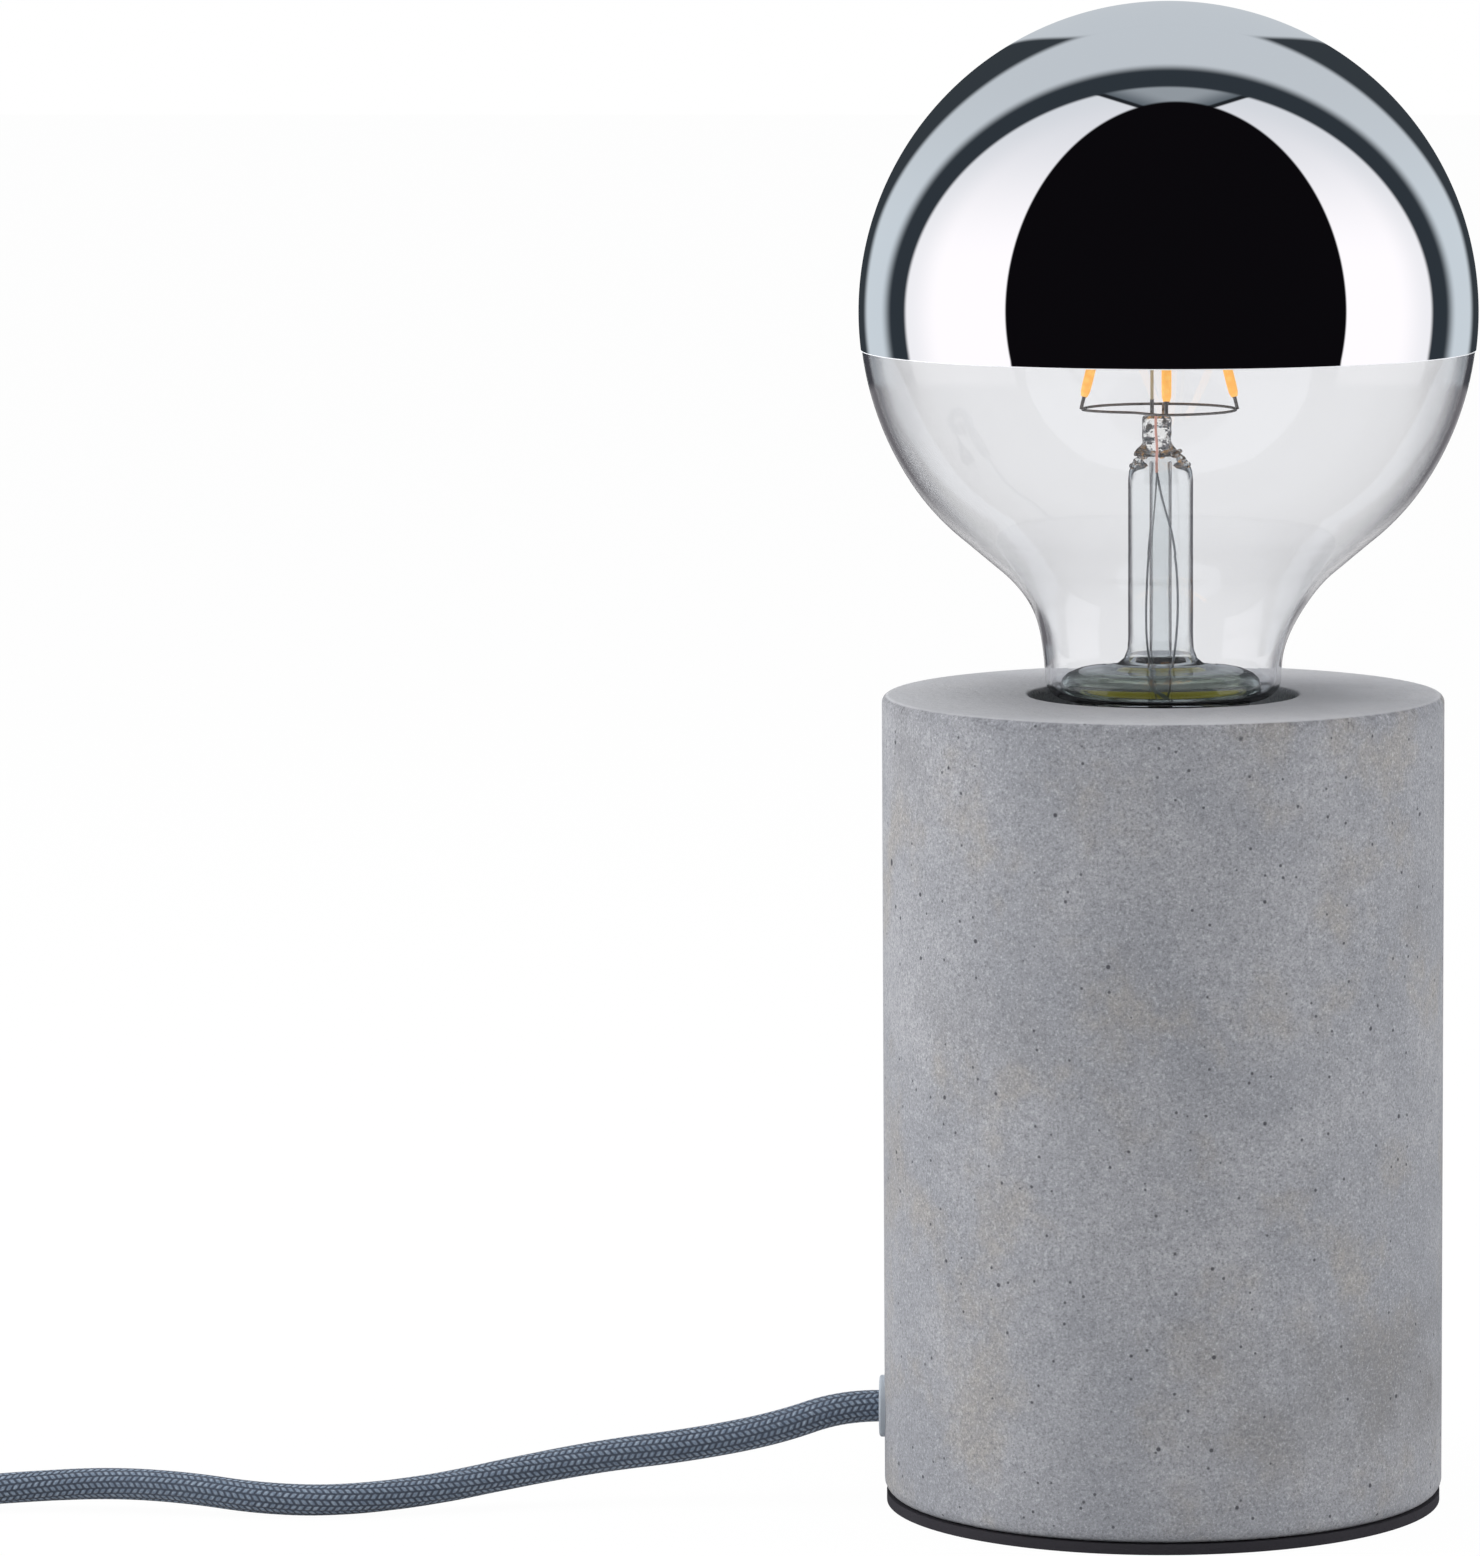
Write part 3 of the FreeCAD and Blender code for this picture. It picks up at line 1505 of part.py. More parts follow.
def plug_relief():
    """The tapered boot behind the plug, grooved so that it bends with the lead."""
    length = size("relief_l")
    taper = (half("relief_d") - half("relief_end_d")) / RELIEF_RIBS
    pitch = length / RELIEF_RIBS
    corners = [(0, 0)]
    for rib in range(RELIEF_RIBS):
        radius = half("relief_end_d") + taper * (rib + 1)
        low = pitch * rib
        corners.append((radius, low))
        corners.append((radius, low + pitch * 0.6))
        if rib < RELIEF_RIBS - 1:
            corners.append((radius - taper * 2, low + pitch * 0.6))
            corners.append((radius - taper * 2, low + pitch))
    corners.append((half("relief_d"), length))
    corners.append((0, length))
    boot = turned("plug_relief", *corners)
    return put(boot, -size("plug_x") - length, size("plug_y"), plug_z, TOWARDS_LAMP)


# ---------------------------------------------------------------- assembly
PIECES = [
    concrete_body(),
    base_pad(),
    cable_grommet(),
    holder_cup(),
    holder_skirt(),
    contact_block(),
    centre_contact(),
    side_contact(),
    terminal_screws(),
    threaded_nipple(),
    nipple_washer(),
    nipple_nut(),
    clamp_half("clamp_lower", upper=False),
    clamp_half("clamp_upper", upper=True),
    clamp_screws(),
    flex_inner(),
    core("live_core", 1),
    core("neutral_core", -1),
    contact_button(),
    cap_insulator(),
    cap_shell(),
    cement_ring(),
    driver_board(),
    glass_envelope(),
    mirror_coating(),
    glass_stem(),
    exhaust_tube(),
    filament_ring(),
    filament_crown(),
    support_wire(),
    tube("flex_run", RUN, size("cord_d")),
    tube("flex_link", LINK, size("cord_d")),
    flex_coil(),
    tube("flex_tail", TAIL, size("cord_d")),
    coil_tie(),
    switch_lower(),
    switch_upper(),
    switch_rocker(),
    rocker_pin(),
    switch_screws(),
    switch_contacts(),
    plug_body(),
    plug_pins(),
    pin_sleeves(),
    plug_relief(),
]
PIECES += [led_filament(number) for number in range(FILAMENTS)]
PIECES += [lead_wire(number) for number in range(2)]

doc.recompute()
for thing in doc.Objects:
    if {"Invalid", "Error"} & set(thing.State):
        raise RuntimeError(f"{thing.Name} is {thing.State}")
for piece in PIECES:
    piece.Label = piece.Name
    if piece.Shape.isNull() or not piece.Shape.isValid() or not piece.Shape.Solids:
        raise RuntimeError(f"{piece.Label} has no valid solid")
for piece in PIECES:
    piece.Shape.exportStep(f"parts/{piece.Label}.step")
print(f"{len(PIECES)} sub-parts written")
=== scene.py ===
"""The looks of the bare bulb table lamp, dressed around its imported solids.

The row frame is in metres. Shapes are written in millimetres and scaled by MM, except where a comment
says metres."""
import math

import bpy
from mathutils import Matrix, Vector, noise


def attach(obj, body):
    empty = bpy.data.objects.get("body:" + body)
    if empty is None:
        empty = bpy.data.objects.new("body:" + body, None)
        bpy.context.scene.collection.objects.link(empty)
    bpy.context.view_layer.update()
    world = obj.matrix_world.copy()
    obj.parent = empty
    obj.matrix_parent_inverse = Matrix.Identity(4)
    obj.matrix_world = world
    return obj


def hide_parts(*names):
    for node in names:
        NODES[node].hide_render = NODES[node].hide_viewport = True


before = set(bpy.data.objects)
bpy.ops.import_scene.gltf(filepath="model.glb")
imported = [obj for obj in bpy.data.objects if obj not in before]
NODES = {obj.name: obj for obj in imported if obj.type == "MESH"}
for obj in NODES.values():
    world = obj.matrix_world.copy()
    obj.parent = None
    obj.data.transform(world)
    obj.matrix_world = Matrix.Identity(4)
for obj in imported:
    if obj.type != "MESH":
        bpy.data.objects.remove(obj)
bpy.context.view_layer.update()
MM = 0.001
TAU = 2 * math.pi
WHITE = (1.0, 1.0, 1.0)


# ---------------------------------------------------------------- node graphs
class Graph:
    """A material or world node tree, with a call for each kind of node."""

    def __init__(self, tree):
        self.tree = tree
        tree.nodes.clear()

    def node(self, kind, inputs=None, **settings):
        made = self.tree.nodes.new(kind)
        for key, value in settings.items():
            setattr(made, key, value)
        for key, value in (inputs or {}).items():
            self.feed(made.inputs[key], value)
        return made

    def feed(self, socket, value):
        if isinstance(value, bpy.types.NodeSocket):
            self.tree.links.new(value, socket)
        elif isinstance(value, (tuple, list)) and len(value) == 3 and socket.type == "RGBA":
            socket.default_value = (*value, 1.0)
        else:
            socket.default_value = value

    def end(self, shader, kind="ShaderNodeOutputMaterial"):
        """Makes the shader what the tree gives out."""
        self.feed(self.node(kind).inputs["Surface"], shader.outputs[0])

    def math(self, operation, a, b=0.0):
        return self.node("ShaderNodeMath", {0: a, 1: b}, operation=operation).outputs[0]

    def times(self, a, b):
        return self.math("MULTIPLY", a, b)

    def plus(self, a, b):
        return self.math("ADD", a, b)

    def minus(self, a, b):
        return self.math("SUBTRACT", a, b)

    def size(self, a):
        return self.math("ABSOLUTE", a)

    def blend(self, share, a, b):
        made = self.node("ShaderNodeMix", data_type="RGBA", blend_type="MIX")
        self.feed(made.inputs["Factor"], share)
        self.feed(made.inputs[6], a)
        self.feed(made.inputs[7], b)
        return made.outputs[2]

    def smooth(self, value, low, high, to_low=0.0, to_high=1.0):
        made = self.node("ShaderNodeMapRange", {0: value, 1: low, 2: high, 3: to_low, 4: to_high},
                         interpolation_type="SMOOTHSTEP")
        return made.outputs[0]

    def noise(self, vector, scale, detail=4.0, roughness=0.5, distortion=0.0):
        made = self.node("ShaderNodeTexNoise", {"Vector": vector, "Scale": scale, "Detail": detail,
                                                "Roughness": roughness, "Distortion": distortion})
        return made.outputs["Fac"]

    def cells(self, vector, scale):
        return self.node("ShaderNodeTexVoronoi", {"Vector": vector, "Scale": scale, "Randomness": 1.0})

    def parts(self, vector):
        return self.node("ShaderNodeSeparateXYZ", {"Vector": vector}).outputs

    def bump(self, height, strength, distance):
        made = self.node("ShaderNodeBump", {"Height": height, "Strength": strength, "Distance": distance})
        return made.outputs[0]

    def place(self):
        """The point in the row frame."""
        return self.node("ShaderNodeTexCoord").outputs["Object"]


def new_material(name):
    material = bpy.data.materials.new(name)
    material.use_nodes = True
    return material, Graph(material.node_tree)


def principled(name, build=None, **sockets):
    """A material on the Principled shader; build(graph, shader) adds its texture."""
    material, graph = new_material(name)
    shader = graph.node("ShaderNodeBsdfPrincipled")
    for key, value in sockets.items():
        graph.feed(shader.inputs[key.replace("_", " ")], value)
    graph.end(shader)
    if build:
        build(graph, shader)
    return material


WEAR_FROM, WEAR_TO = 0.3, 0.7
GRAIN_HEIGHT = 0.0002


def wear(low, high, scale, grain_scale, grain):
    """Roughness that wanders between low and high, with a fine grain in the surface."""
    def build(graph, shader):
        place = graph.place()
        patches = graph.noise(place, scale, 3.0)
        graph.feed(shader.inputs["Roughness"], graph.smooth(patches, WEAR_FROM, WEAR_TO, low, high))
        height = graph.noise(place, grain_scale, 2.0)
        graph.feed(shader.inputs["Normal"], graph.bump(height, grain, GRAIN_HEIGHT))
    return build


# ---------------------------------------------------------------- mesh building
SHARP = math.radians(55.0)


def mesh_piece(name, points, faces, material, body, uvs=None):
    """A smooth mesh that faces outwards and rides a body; uvs go corner by corner."""
    mesh = bpy.data.meshes.new(name)
    mesh.from_pydata(points, [], faces)
    mesh.validate()
    mesh.shade_smooth()
    if uvs is not None:
        layer = mesh.uv_layers.new(name="along")
        for polygon in mesh.polygons:
            for corner in polygon.loop_indices:
                layer.data[corner].uv = uvs[corner]
    middle = sum((Vector(p) for p in points), Vector()) / len(points)
    outward = sum((polygon.center - middle).dot(polygon.normal) * polygon.area for polygon in mesh.polygons)
    if outward < 0:
        mesh.flip_normals()
    mesh.set_sharp_from_angle(angle=SHARP)
    piece = bpy.data.objects.new(name, mesh)
    bpy.context.scene.collection.objects.link(piece)
    mesh.materials.append(material)
    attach(piece, body)
    return piece


def tube_faces(rows, sides):
    """Faces of a tube of rows of points, with both ends closed."""
    faces = []
    for k in range(rows - 1):
        for i in range(sides):
            j = (i + 1) % sides
            faces.append((k * sides + i, k * sides + j, (k + 1) * sides + j, (k + 1) * sides + i))
    faces.append(tuple(reversed(range(sides))))
    faces.append(tuple((rows - 1) * sides + i for i in range(sides)))
    return faces


def arc(across, up, radius, first, last, steps):
    """Points (r, z) on an arc; angles in degrees up from straight down."""
    points = []
    for i in range(steps + 1):
        angle = math.radians(first + (last - first) * i / steps)
        points.append((across + radius * math.sin(angle), up - radius * math.cos(angle)))
    return points


def lathe(name, outline, material, body, sides=128, closed=False, axis=(0.0, 0.0), step=1.0, wave=None):
    """A surface turned about the vertical from (r, z) points in mm; r = 0 makes a pole.

    Runs are cut at each step, so that smooth shading bends only near a corner. wave(z, angle)
    adds to the radius."""
    whole = []
    for (r0, z0), (r1, z1) in zip(outline, outline[1:] + (outline[:1] if closed else [])):
        steps = max(1, math.ceil(math.hypot(r1 - r0, z1 - z0) / step))
        whole += [(r0 + (r1 - r0) * i / steps, z0 + (z1 - z0) * i / steps) for i in range(steps)]
    if not closed:
        whole.append(outline[-1])
    rings = []
    points = []
    for r, z in whole:
        if r < 1e-9:
            rings.append([len(points)] * sides)
            points.append((axis[0] * MM, axis[1] * MM, z * MM))
            continue
        rings.append([len(points) + i for i in range(sides)])
        for i in range(sides):
            angle = TAU * i / sides
            reach = r + (wave(z, angle) if wave else 0.0)
            points.append(((axis[0] + reach * math.cos(angle)) * MM,
                           (axis[1] + reach * math.sin(angle)) * MM, z * MM))
    faces = []
    pairs = list(zip(rings, rings[1:]))
    if closed:
        pairs.append((rings[-1], rings[0]))
    for low, high in pairs:
        for i in range(sides):
            j = (i + 1) % sides
            # Beside a pole two corners are the same, and the face is a triangle.
            corners = list(dict.fromkeys([low[i], low[j], high[j], high[i]]))
            if len(corners) > 2:
                faces.append(corners)
    return mesh_piece(name, points, faces, material, body)


def frames_along(path):
    """A steady frame (point, side, up) at each point of a path, by parallel transport."""
    ways = []
    for i in range(len(path)):
        ways.append((path[min(i + 1, len(path) - 1)] - path[max(i - 1, 0)]).normalized())
    up = Vector((0, 0, 1))
    if abs(ways[0].dot(up)) > 0.9:
        up = Vector((0, 1, 0))
    frames = []
    for i, way in enumerate(ways):
        if i:
            up = ways[i - 1].rotation_difference(way) @ up
        up = (up - way * up.dot(way)).normalized()
        frames.append((path[i], way.cross(up), up))
    return frames


def wire(name, path, diameter, material, body, sides=10):
    """A round wire along points in metres, with closed ends."""
    points = []
    for centre, side, up in frames_along(path):
        for i in range(sides):
            angle = TAU * i / sides
            points.append(tuple(centre + (side * math.cos(angle) + up * math.sin(angle)) * diameter / 2))
    return mesh_piece(name, points, tube_faces(len(path), sides), material, body)


def spline_points(points, resolution):
    """Points along the smooth NURBS line of control points in metres."""
    curve = bpy.data.curves.new("route", "CURVE")
    curve.dimensions = "3D"
    spline = curve.splines.new("NURBS")
    spline.points.add(len(points) - 1)
    for slot, point in zip(spline.points, points):
        slot.co = (*point, 1.0)
    spline.order_u = 3
    spline.use_endpoint_u = True
    spline.resolution_u = resolution
    holder = bpy.data.objects.new("route", curve)
    bpy.context.scene.collection.objects.link(holder)
    bpy.context.view_layer.update()
    line = bpy.data.meshes.new_from_object(holder)
    path = [vertex.co.copy() for vertex in line.vertices]
    bpy.data.objects.remove(holder)
    bpy.data.curves.remove(curve)
    bpy.data.meshes.remove(line)
    return path


# ---------------------------------------------------------------- concrete
CAST_DEEP, CAST_PALE = (0.268, 0.276, 0.298), (0.346, 0.349, 0.366)
WARM_PATCH, SMUDGE, STAIN = (0.318, 0.300, 0.278), (0.232, 0.233, 0.243), (0.205, 0.203, 0.205)
MOTTLE, GRAIN_DARK, GRAIN_PALE = (0.190, 0.194, 0.212), (0.150, 0.152, 0.166), (0.610, 0.615, 0.640)
# Painted shade: the colour laid into the pores and along the chipped top rim.
PORE_AND_RIM_SHADE = (0.045, 0.045, 0.055)
# Painted light: paler colours for the upward top face, in place of light falling on it.
TOP_PAINTED_LIGHT_DEEP, TOP_PAINTED_LIGHT_PALE = (0.455, 0.460, 0.480), (0.520, 0.525, 0.545)
# The band of painted shade along the top rim: from and to, in metres, and its darkness.
RIM_FROM, RIM_TO, RIM_SHADE_DEPTH = 0.1222, 0.1258, 0.55
# Each kind of pore: cells to the metre, radius in cells, share of cells without one, and darkness of its painted
# shade.
PORES = ((430.0, 0.105, 0.50, 0.85), (250.0, 0.085, 0.72, 0.95), (80.0, 0.045, 0.62, 1.0))


def concrete_texture(graph, shader):
    place = graph.place()
    cloud = graph.noise(place, 34.0, 5.0, 0.6, 0.5)
    warm = graph.noise(place, 52.0, 5.0, 0.62)
    smudge = graph.noise(place, 24.0, 4.0, 0.6)
    grain = graph.noise(place, 2300.0, 3.0, 0.8)
    coarse = graph.noise(place, 620.0, 3.0, 0.6)
    across, _, high = graph.parts(place)
    base = graph.blend(graph.smooth(cloud, 0.32, 0.68), CAST_DEEP, CAST_PALE)
    base = graph.blend(graph.smooth(warm, 0.50, 0.68, 0.0, 0.8), base, WARM_PATCH)
    base = graph.blend(graph.smooth(smudge, 0.54, 0.72, 0.0, 0.6), base, SMUDGE)
    # A stain lies low on the side away from the cord.
    stain = graph.times(graph.smooth(high, 0.037, 0.028), graph.smooth(high, 0.008, 0.019))
    stain = graph.times(stain, graph.smooth(across, -0.002, 0.026))
    stain = graph.times(stain, graph.smooth(warm, 0.34, 0.58, 0.0, 0.75))
    base = graph.blend(stain, base, STAIN)
    base = graph.blend(graph.smooth(coarse, 0.32, 0.68, 0.35, 0.0), base, MOTTLE)
    base = graph.blend(graph.smooth(grain, 0.30, 0.52, 0.85, 0.0), base, GRAIN_DARK)
    base = graph.blend(graph.smooth(grain, 0.52, 0.74, 0.0, 0.50), base, GRAIN_PALE)
    # Along the top rim, where crumbs are chipped off, a noisy dark band is painted shade; pores of three sizes
    # lie all over, painted dark as the shade in their hollows.
    rim_chip_shade = graph.times(graph.smooth(high, RIM_FROM, RIM_TO), graph.smooth(coarse, 0.45, 0.62, 0.0, 0.7))
    dark = graph.times(rim_chip_shade, RIM_SHADE_DEPTH)
    for scale, radius, without, depth in PORES:
        cells = graph.cells(place, scale)
        draw = graph.node("ShaderNodeSeparateColor", {"Color": cells.outputs["Color"]}).outputs[0]
        chance = graph.math("GREATER_THAN", draw, without)
        hole = graph.smooth(cells.outputs["Distance"], radius * 0.7, radius * 1.25, depth, 0.0)
        dark = graph.math("MAXIMUM", dark, graph.times(hole, chance))
    # The pores and the rim band take the painted shade colour.
    base = graph.blend(graph.times(dark, 0.92), base, PORE_AND_RIM_SHADE)
    # The cast face on top is smoother; it is painted paler, which is painted light on the face that looks up.
    upward = graph.parts(graph.node("ShaderNodeNewGeometry").outputs["Normal"])[2]
    top = graph.blend(graph.smooth(cloud, 0.35, 0.65), TOP_PAINTED_LIGHT_DEEP, TOP_PAINTED_LIGHT_PALE)
    base = graph.blend(graph.smooth(upward, 0.75, 0.97, 0.0, 0.85), base, top)
    graph.feed(shader.inputs["Base Color"], base)
    height = graph.minus(graph.times(grain, 0.5), graph.times(dark, 1.6))
    graph.feed(shader.inputs["Normal"], graph.bump(height, 0.3, 0.0003))


# ---------------------------------------------------------------- plain materials
CONCRETE = principled("concrete", concrete_texture, Roughness=0.9)
PAD = principled("foot_pad", wear(0.75, 0.95, 60.0, 1800.0, 0.25), Base_Color=(0.026, 0.024, 0.030))
GROMMET = principled("grommet", wear(0.3, 0.5, 200.0, 900.0, 0.1), Base_Color=(0.52, 0.57, 0.63),
                     Transmission_Weight=0.35, IOR=1.45)
BLACK_PLASTIC = principled("black_plastic", wear(0.45, 0.65, 90.0, 2400.0, 0.2), Base_Color=(0.022, 0.022, 0.025))
GREY_PLASTIC = principled("switch_plastic", wear(0.32, 0.5, 70.0, 2600.0, 0.18), Base_Color=(0.045, 0.05, 0.058))
ROCKER_PLASTIC = principled("rocker_plastic", wear(0.25, 0.4, 70.0, 2600.0, 0.1),
                            Base_Color=(0.07, 0.076, 0.086))
PALE_PLASTIC = principled("pale_plastic", wear(0.4, 0.6, 90.0, 1500.0, 0.15), Base_Color=(0.72, 0.72, 0.69))
STEATITE = principled("steatite", wear(0.55, 0.8, 120.0, 1200.0, 0.2), Base_Color=(0.78, 0.76, 0.71))
BRASS = principled("contact_brass", wear(0.22, 0.42, 200.0, 900.0, 0.1), Base_Color=(0.80, 0.60, 0.27),
                   Metallic=1.0)
ZINC = principled("zinc_steel", wear(0.3, 0.5, 240.0, 1500.0, 0.15), Base_Color=(0.62, 0.63, 0.66), Metallic=1.0)
NICKEL = principled("cap_metal", wear(0.18, 0.34, 160.0, 900.0, 0.1), Base_Color=(0.72, 0.71, 0.69), Metallic=1.0)
SOLDER = principled("solder", wear(0.3, 0.5, 400.0, 900.0, 0.3), Base_Color=(0.66, 0.66, 0.65), Metallic=1.0)
BOARD = principled("board", wear(0.35, 0.55, 90.0, 900.0, 0.1), Base_Color=(0.05, 0.16, 0.08))
CORE_BROWN = principled("core_brown", wear(0.4, 0.5, 90.0, 900.0, 0.1), Base_Color=(0.14, 0.06, 0.03))
CORE_BLUE = principled("core_blue", wear(0.4, 0.5, 90.0, 900.0, 0.1), Base_Color=(0.02, 0.10, 0.36))
# The cement glows by emission: painted light, standing in for light led to it through the glass.
CEMENT_PAINTED_GLOW = principled("cement", wear(0.5, 0.8, 300.0, 700.0, 0.4), Base_Color=(0.46, 0.42, 0.10),
                    Emission_Color=(0.50, 0.44, 0.06), Emission_Strength=0.36)
MIRROR = principled("mirror", Base_Color=(0.93, 0.94, 0.955), Metallic=1.0, Roughness=0.0)
BRIGHT_EDGE = principled("coating_edge", Base_Color=(0.85, 0.86, 0.88), Roughness=0.5)
STEEL_WIRE = principled("support_metal", wear(0.25, 0.45, 900.0, 2400.0, 0.2), Base_Color=(0.20, 0.19, 0.185),
                        Metallic=0.7)
LEAD_WIRE = principled("lead_metal", wear(0.3, 0.45, 900.0, 2400.0, 0.1), Base_Color=(0.34, 0.36, 0.39),
                       Metallic=0.5)
# The copper wire glows by emission, though it is no lamp: painted light.
COPPER_WIRE_PAINTED_GLOW = principled("copper_wire", wear(0.3, 0.45, 900.0, 2400.0, 0.2), Base_Color=(0.86, 0.44, 0.38),
                         Emission_Color=(0.90, 0.45, 0.38), Emission_Strength=0.25)
SLEEVE = principled("wire_sleeve", wear(0.45, 0.6, 600.0, 2400.0, 0.15), Base_Color=(0.42, 0.50, 0.58))
PALE_WIRE = principled("pale_wire", wear(0.3, 0.45, 900.0, 2400.0, 0.1), Base_Color=(0.80, 0.70, 0.46),
                       Metallic=0.5)


def phosphor_texture(graph, shader):
    beads = graph.cells(graph.place(), 900.0).outputs["Distance"]
    graph.feed(shader.inputs["Base Color"], graph.blend(
        graph.smooth(beads, 0.1, 0.7), (0.98, 0.62, 0.17), (0.90, 0.42, 0.05)))
    graph.feed(shader.inputs["Normal"], graph.bump(beads, 0.3, GRAIN_HEIGHT))


# The filaments glow by emission: painted light that brightens them where the mirror crown shades them.
PHOSPHOR_PAINTED_GLOW = principled("phosphor", phosphor_texture, Roughness=0.45, Emission_Color=(1.0, 0.50, 0.12),
                      Emission_Strength=0.80)


# ---------------------------------------------------------------- glass
GLASS_IOR = 1.5


def clear_glass(name, tint, bubbles=False):
    """Glass that lets light through to what it encloses; bubbles make its surface uneven."""
    material, graph = new_material(name)
    glass = graph.node("ShaderNodeBsdfPrincipled", {"Base Color": tint, "Roughness": 0.0, "IOR": GLASS_IOR,
                                                    "Transmission Weight": 1.0})
    if bubbles:
        place = graph.place()
        cells = graph.cells(place, 1100.0).outputs["Distance"]
        ripples = graph.noise(place, 700.0, 2.0)
        height = graph.plus(graph.smooth(cells, 0.1, 0.45), ripples)
        graph.feed(glass.inputs["Normal"], graph.bump(height, 0.22, 0.0004))
    through = graph.node("ShaderNodeBsdfTransparent", {"Color": tint})
    shadow = graph.node("ShaderNodeLightPath").outputs["Is Shadow Ray"]
    graph.end(graph.node("ShaderNodeMixShader", {0: shadow, 1: glass.outputs[0], 2: through.outputs[0]}))
    return material


GLASS = clear_glass("bulb_glass", (0.935, 0.938, 0.950))
STEM_GLASS = clear_glass("stem_glass", (0.965, 0.98, 0.985))
FLARE_GLASS = clear_glass("flare_glass", (0.52, 0.57, 0.53))
PRESS_GLASS = clear_glass("press_glass", (0.99, 0.99, 0.97), bubbles=True)


# ---------------------------------------------------------------- braid
# Painted shade: the dark colours of the gaps between the yarns.
GAP_SHADE_DEEP, GAP_SHADE_PALE = (0.044, 0.057, 0.084), (0.056, 0.072, 0.104)
YARN_DEEP, YARN_PALE = (0.150, 0.197, 0.268), (0.290, 0.352, 0.432)
YARN_LEAN = 0.55
STRANDS = 5


def braid_texture(graph, shader):
    """A woven sleeve: u runs round the cord in yarns, v along it in crossings."""
    u, v, _ = graph.parts(graph.node("ShaderNodeTexCoord").outputs["UV"])
    column = graph.math("FRACT", u)
    yarn = graph.math("FLOOR", u)
    row = graph.math("FRACT", graph.plus(v, graph.times(yarn, 0.5)))
    # Yarns lean one way in even columns and the other way in odd ones.
    way = graph.minus(graph.times(graph.math("FLOORED_MODULO", yarn, 2.0), 2.0), 1.0)
    lean = graph.times(way, graph.times(graph.minus(column, 0.5), YARN_LEAN))
    leaning = graph.plus(row, lean)
    along = graph.size(graph.minus(graph.math("FRACT", leaning), 0.5))
    across = graph.size(graph.minus(column, 0.5))
    crown = graph.times(graph.smooth(along, 0.06, 0.5, 1.0, 0.0), graph.smooth(across, 0.18, 0.52, 1.0, 0.0))
    strands = graph.math("SINE", graph.times(leaning, TAU * STRANDS))
    fleck = graph.noise(graph.place(), 1500.0, 2.0, 0.7)
    tone = graph.noise(graph.place(), 45.0, 2.0)
    # The gaps between yarn crowns are painted dark, as painted shade.
    low = graph.blend(graph.smooth(tone, 0.3, 0.7), GAP_SHADE_DEEP, GAP_SHADE_PALE)
    high = graph.blend(graph.smooth(fleck, 0.35, 0.75), YARN_DEEP, YARN_PALE)
    graph.feed(shader.inputs["Base Color"], graph.blend(graph.smooth(crown, 0.05, 0.8), low, high))
    height = graph.plus(crown, graph.times(strands, 0.08))
    graph.feed(shader.inputs["Normal"], graph.bump(height, 0.7, 0.0005))


BRAID = principled("cord_braid", braid_texture, Roughness=0.72, Sheen_Weight=0.15, Sheen_Roughness=0.4)

# ---------------------------------------------------------------- CAD nodes that keep their shape
FINISH = {
    "concrete_body": CONCRETE, "base_pad": PAD, "cable_grommet": GROMMET,
    "holder_cup": BLACK_PLASTIC, "holder_skirt": BLACK_PLASTIC, "contact_block": STEATITE,
    "centre_contact": BRASS, "side_contact": BRASS, "terminal_screws": ZINC,
    "threaded_nipple": ZINC, "nipple_washer": ZINC, "nipple_nut": ZINC,
    "clamp_lower": PALE_PLASTIC, "clamp_upper": PALE_PLASTIC, "clamp_screws": ZINC,
    "live_core": CORE_BROWN, "neutral_core": CORE_BLUE,
    "contact_button": SOLDER, "cap_insulator": BLACK_PLASTIC, "cement_ring": CEMENT_PAINTED_GLOW, "driver_board": BOARD,
    "coil_tie": BLACK_PLASTIC, "switch_lower": GREY_PLASTIC, "switch_upper": GREY_PLASTIC,
    "switch_rocker": ROCKER_PLASTIC, "rocker_pin": ZINC, "switch_screws": ZINC, "switch_contacts": BRASS,
    "plug_body": GREY_PLASTIC, "plug_pins": NICKEL, "pin_sleeves": BLACK_PLASTIC, "plug_relief": GREY_PLASTIC,
}
for node, material in FINISH.items():
    for slot in NODES[node].material_slots:
        slot.material = material

# ---------------------------------------------------------------- screw cap
THREAD_PITCH, THREAD_RISE, THREAD_FADE = 3.629, 0.33, 1.6
THREAD_LOW, THREAD_HIGH = 105.1, 118.3
SHELL_R, COLLAR_R, CAP_RIM, SHELL_WALL = 12.65, 13.3, 124.85, 0.4


def thread(z, angle):
    """A round right-hand thread, which runs out at both ends."""
    room = min(z - THREAD_LOW, THREAD_HIGH - z)
    share = min(1.0, max(0.0, room / THREAD_FADE))
    return THREAD_RISE * share * math.cos(TAU * z / THREAD_PITCH - angle)


cap_side = [(10.5, 102.9), (SHELL_R, THREAD_LOW), (SHELL_R, THREAD_HIGH), (COLLAR_R, THREAD_HIGH + 0.65),
            (COLLAR_R, CAP_RIM)]
cap = lathe("screw_cap", cap_side + [(r - SHELL_WALL, z) for r, z in reversed(cap_side)], NICKEL, "bulb",
            sides=120, closed=True, step=0.3, wave=thread)
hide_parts("cap_shell")

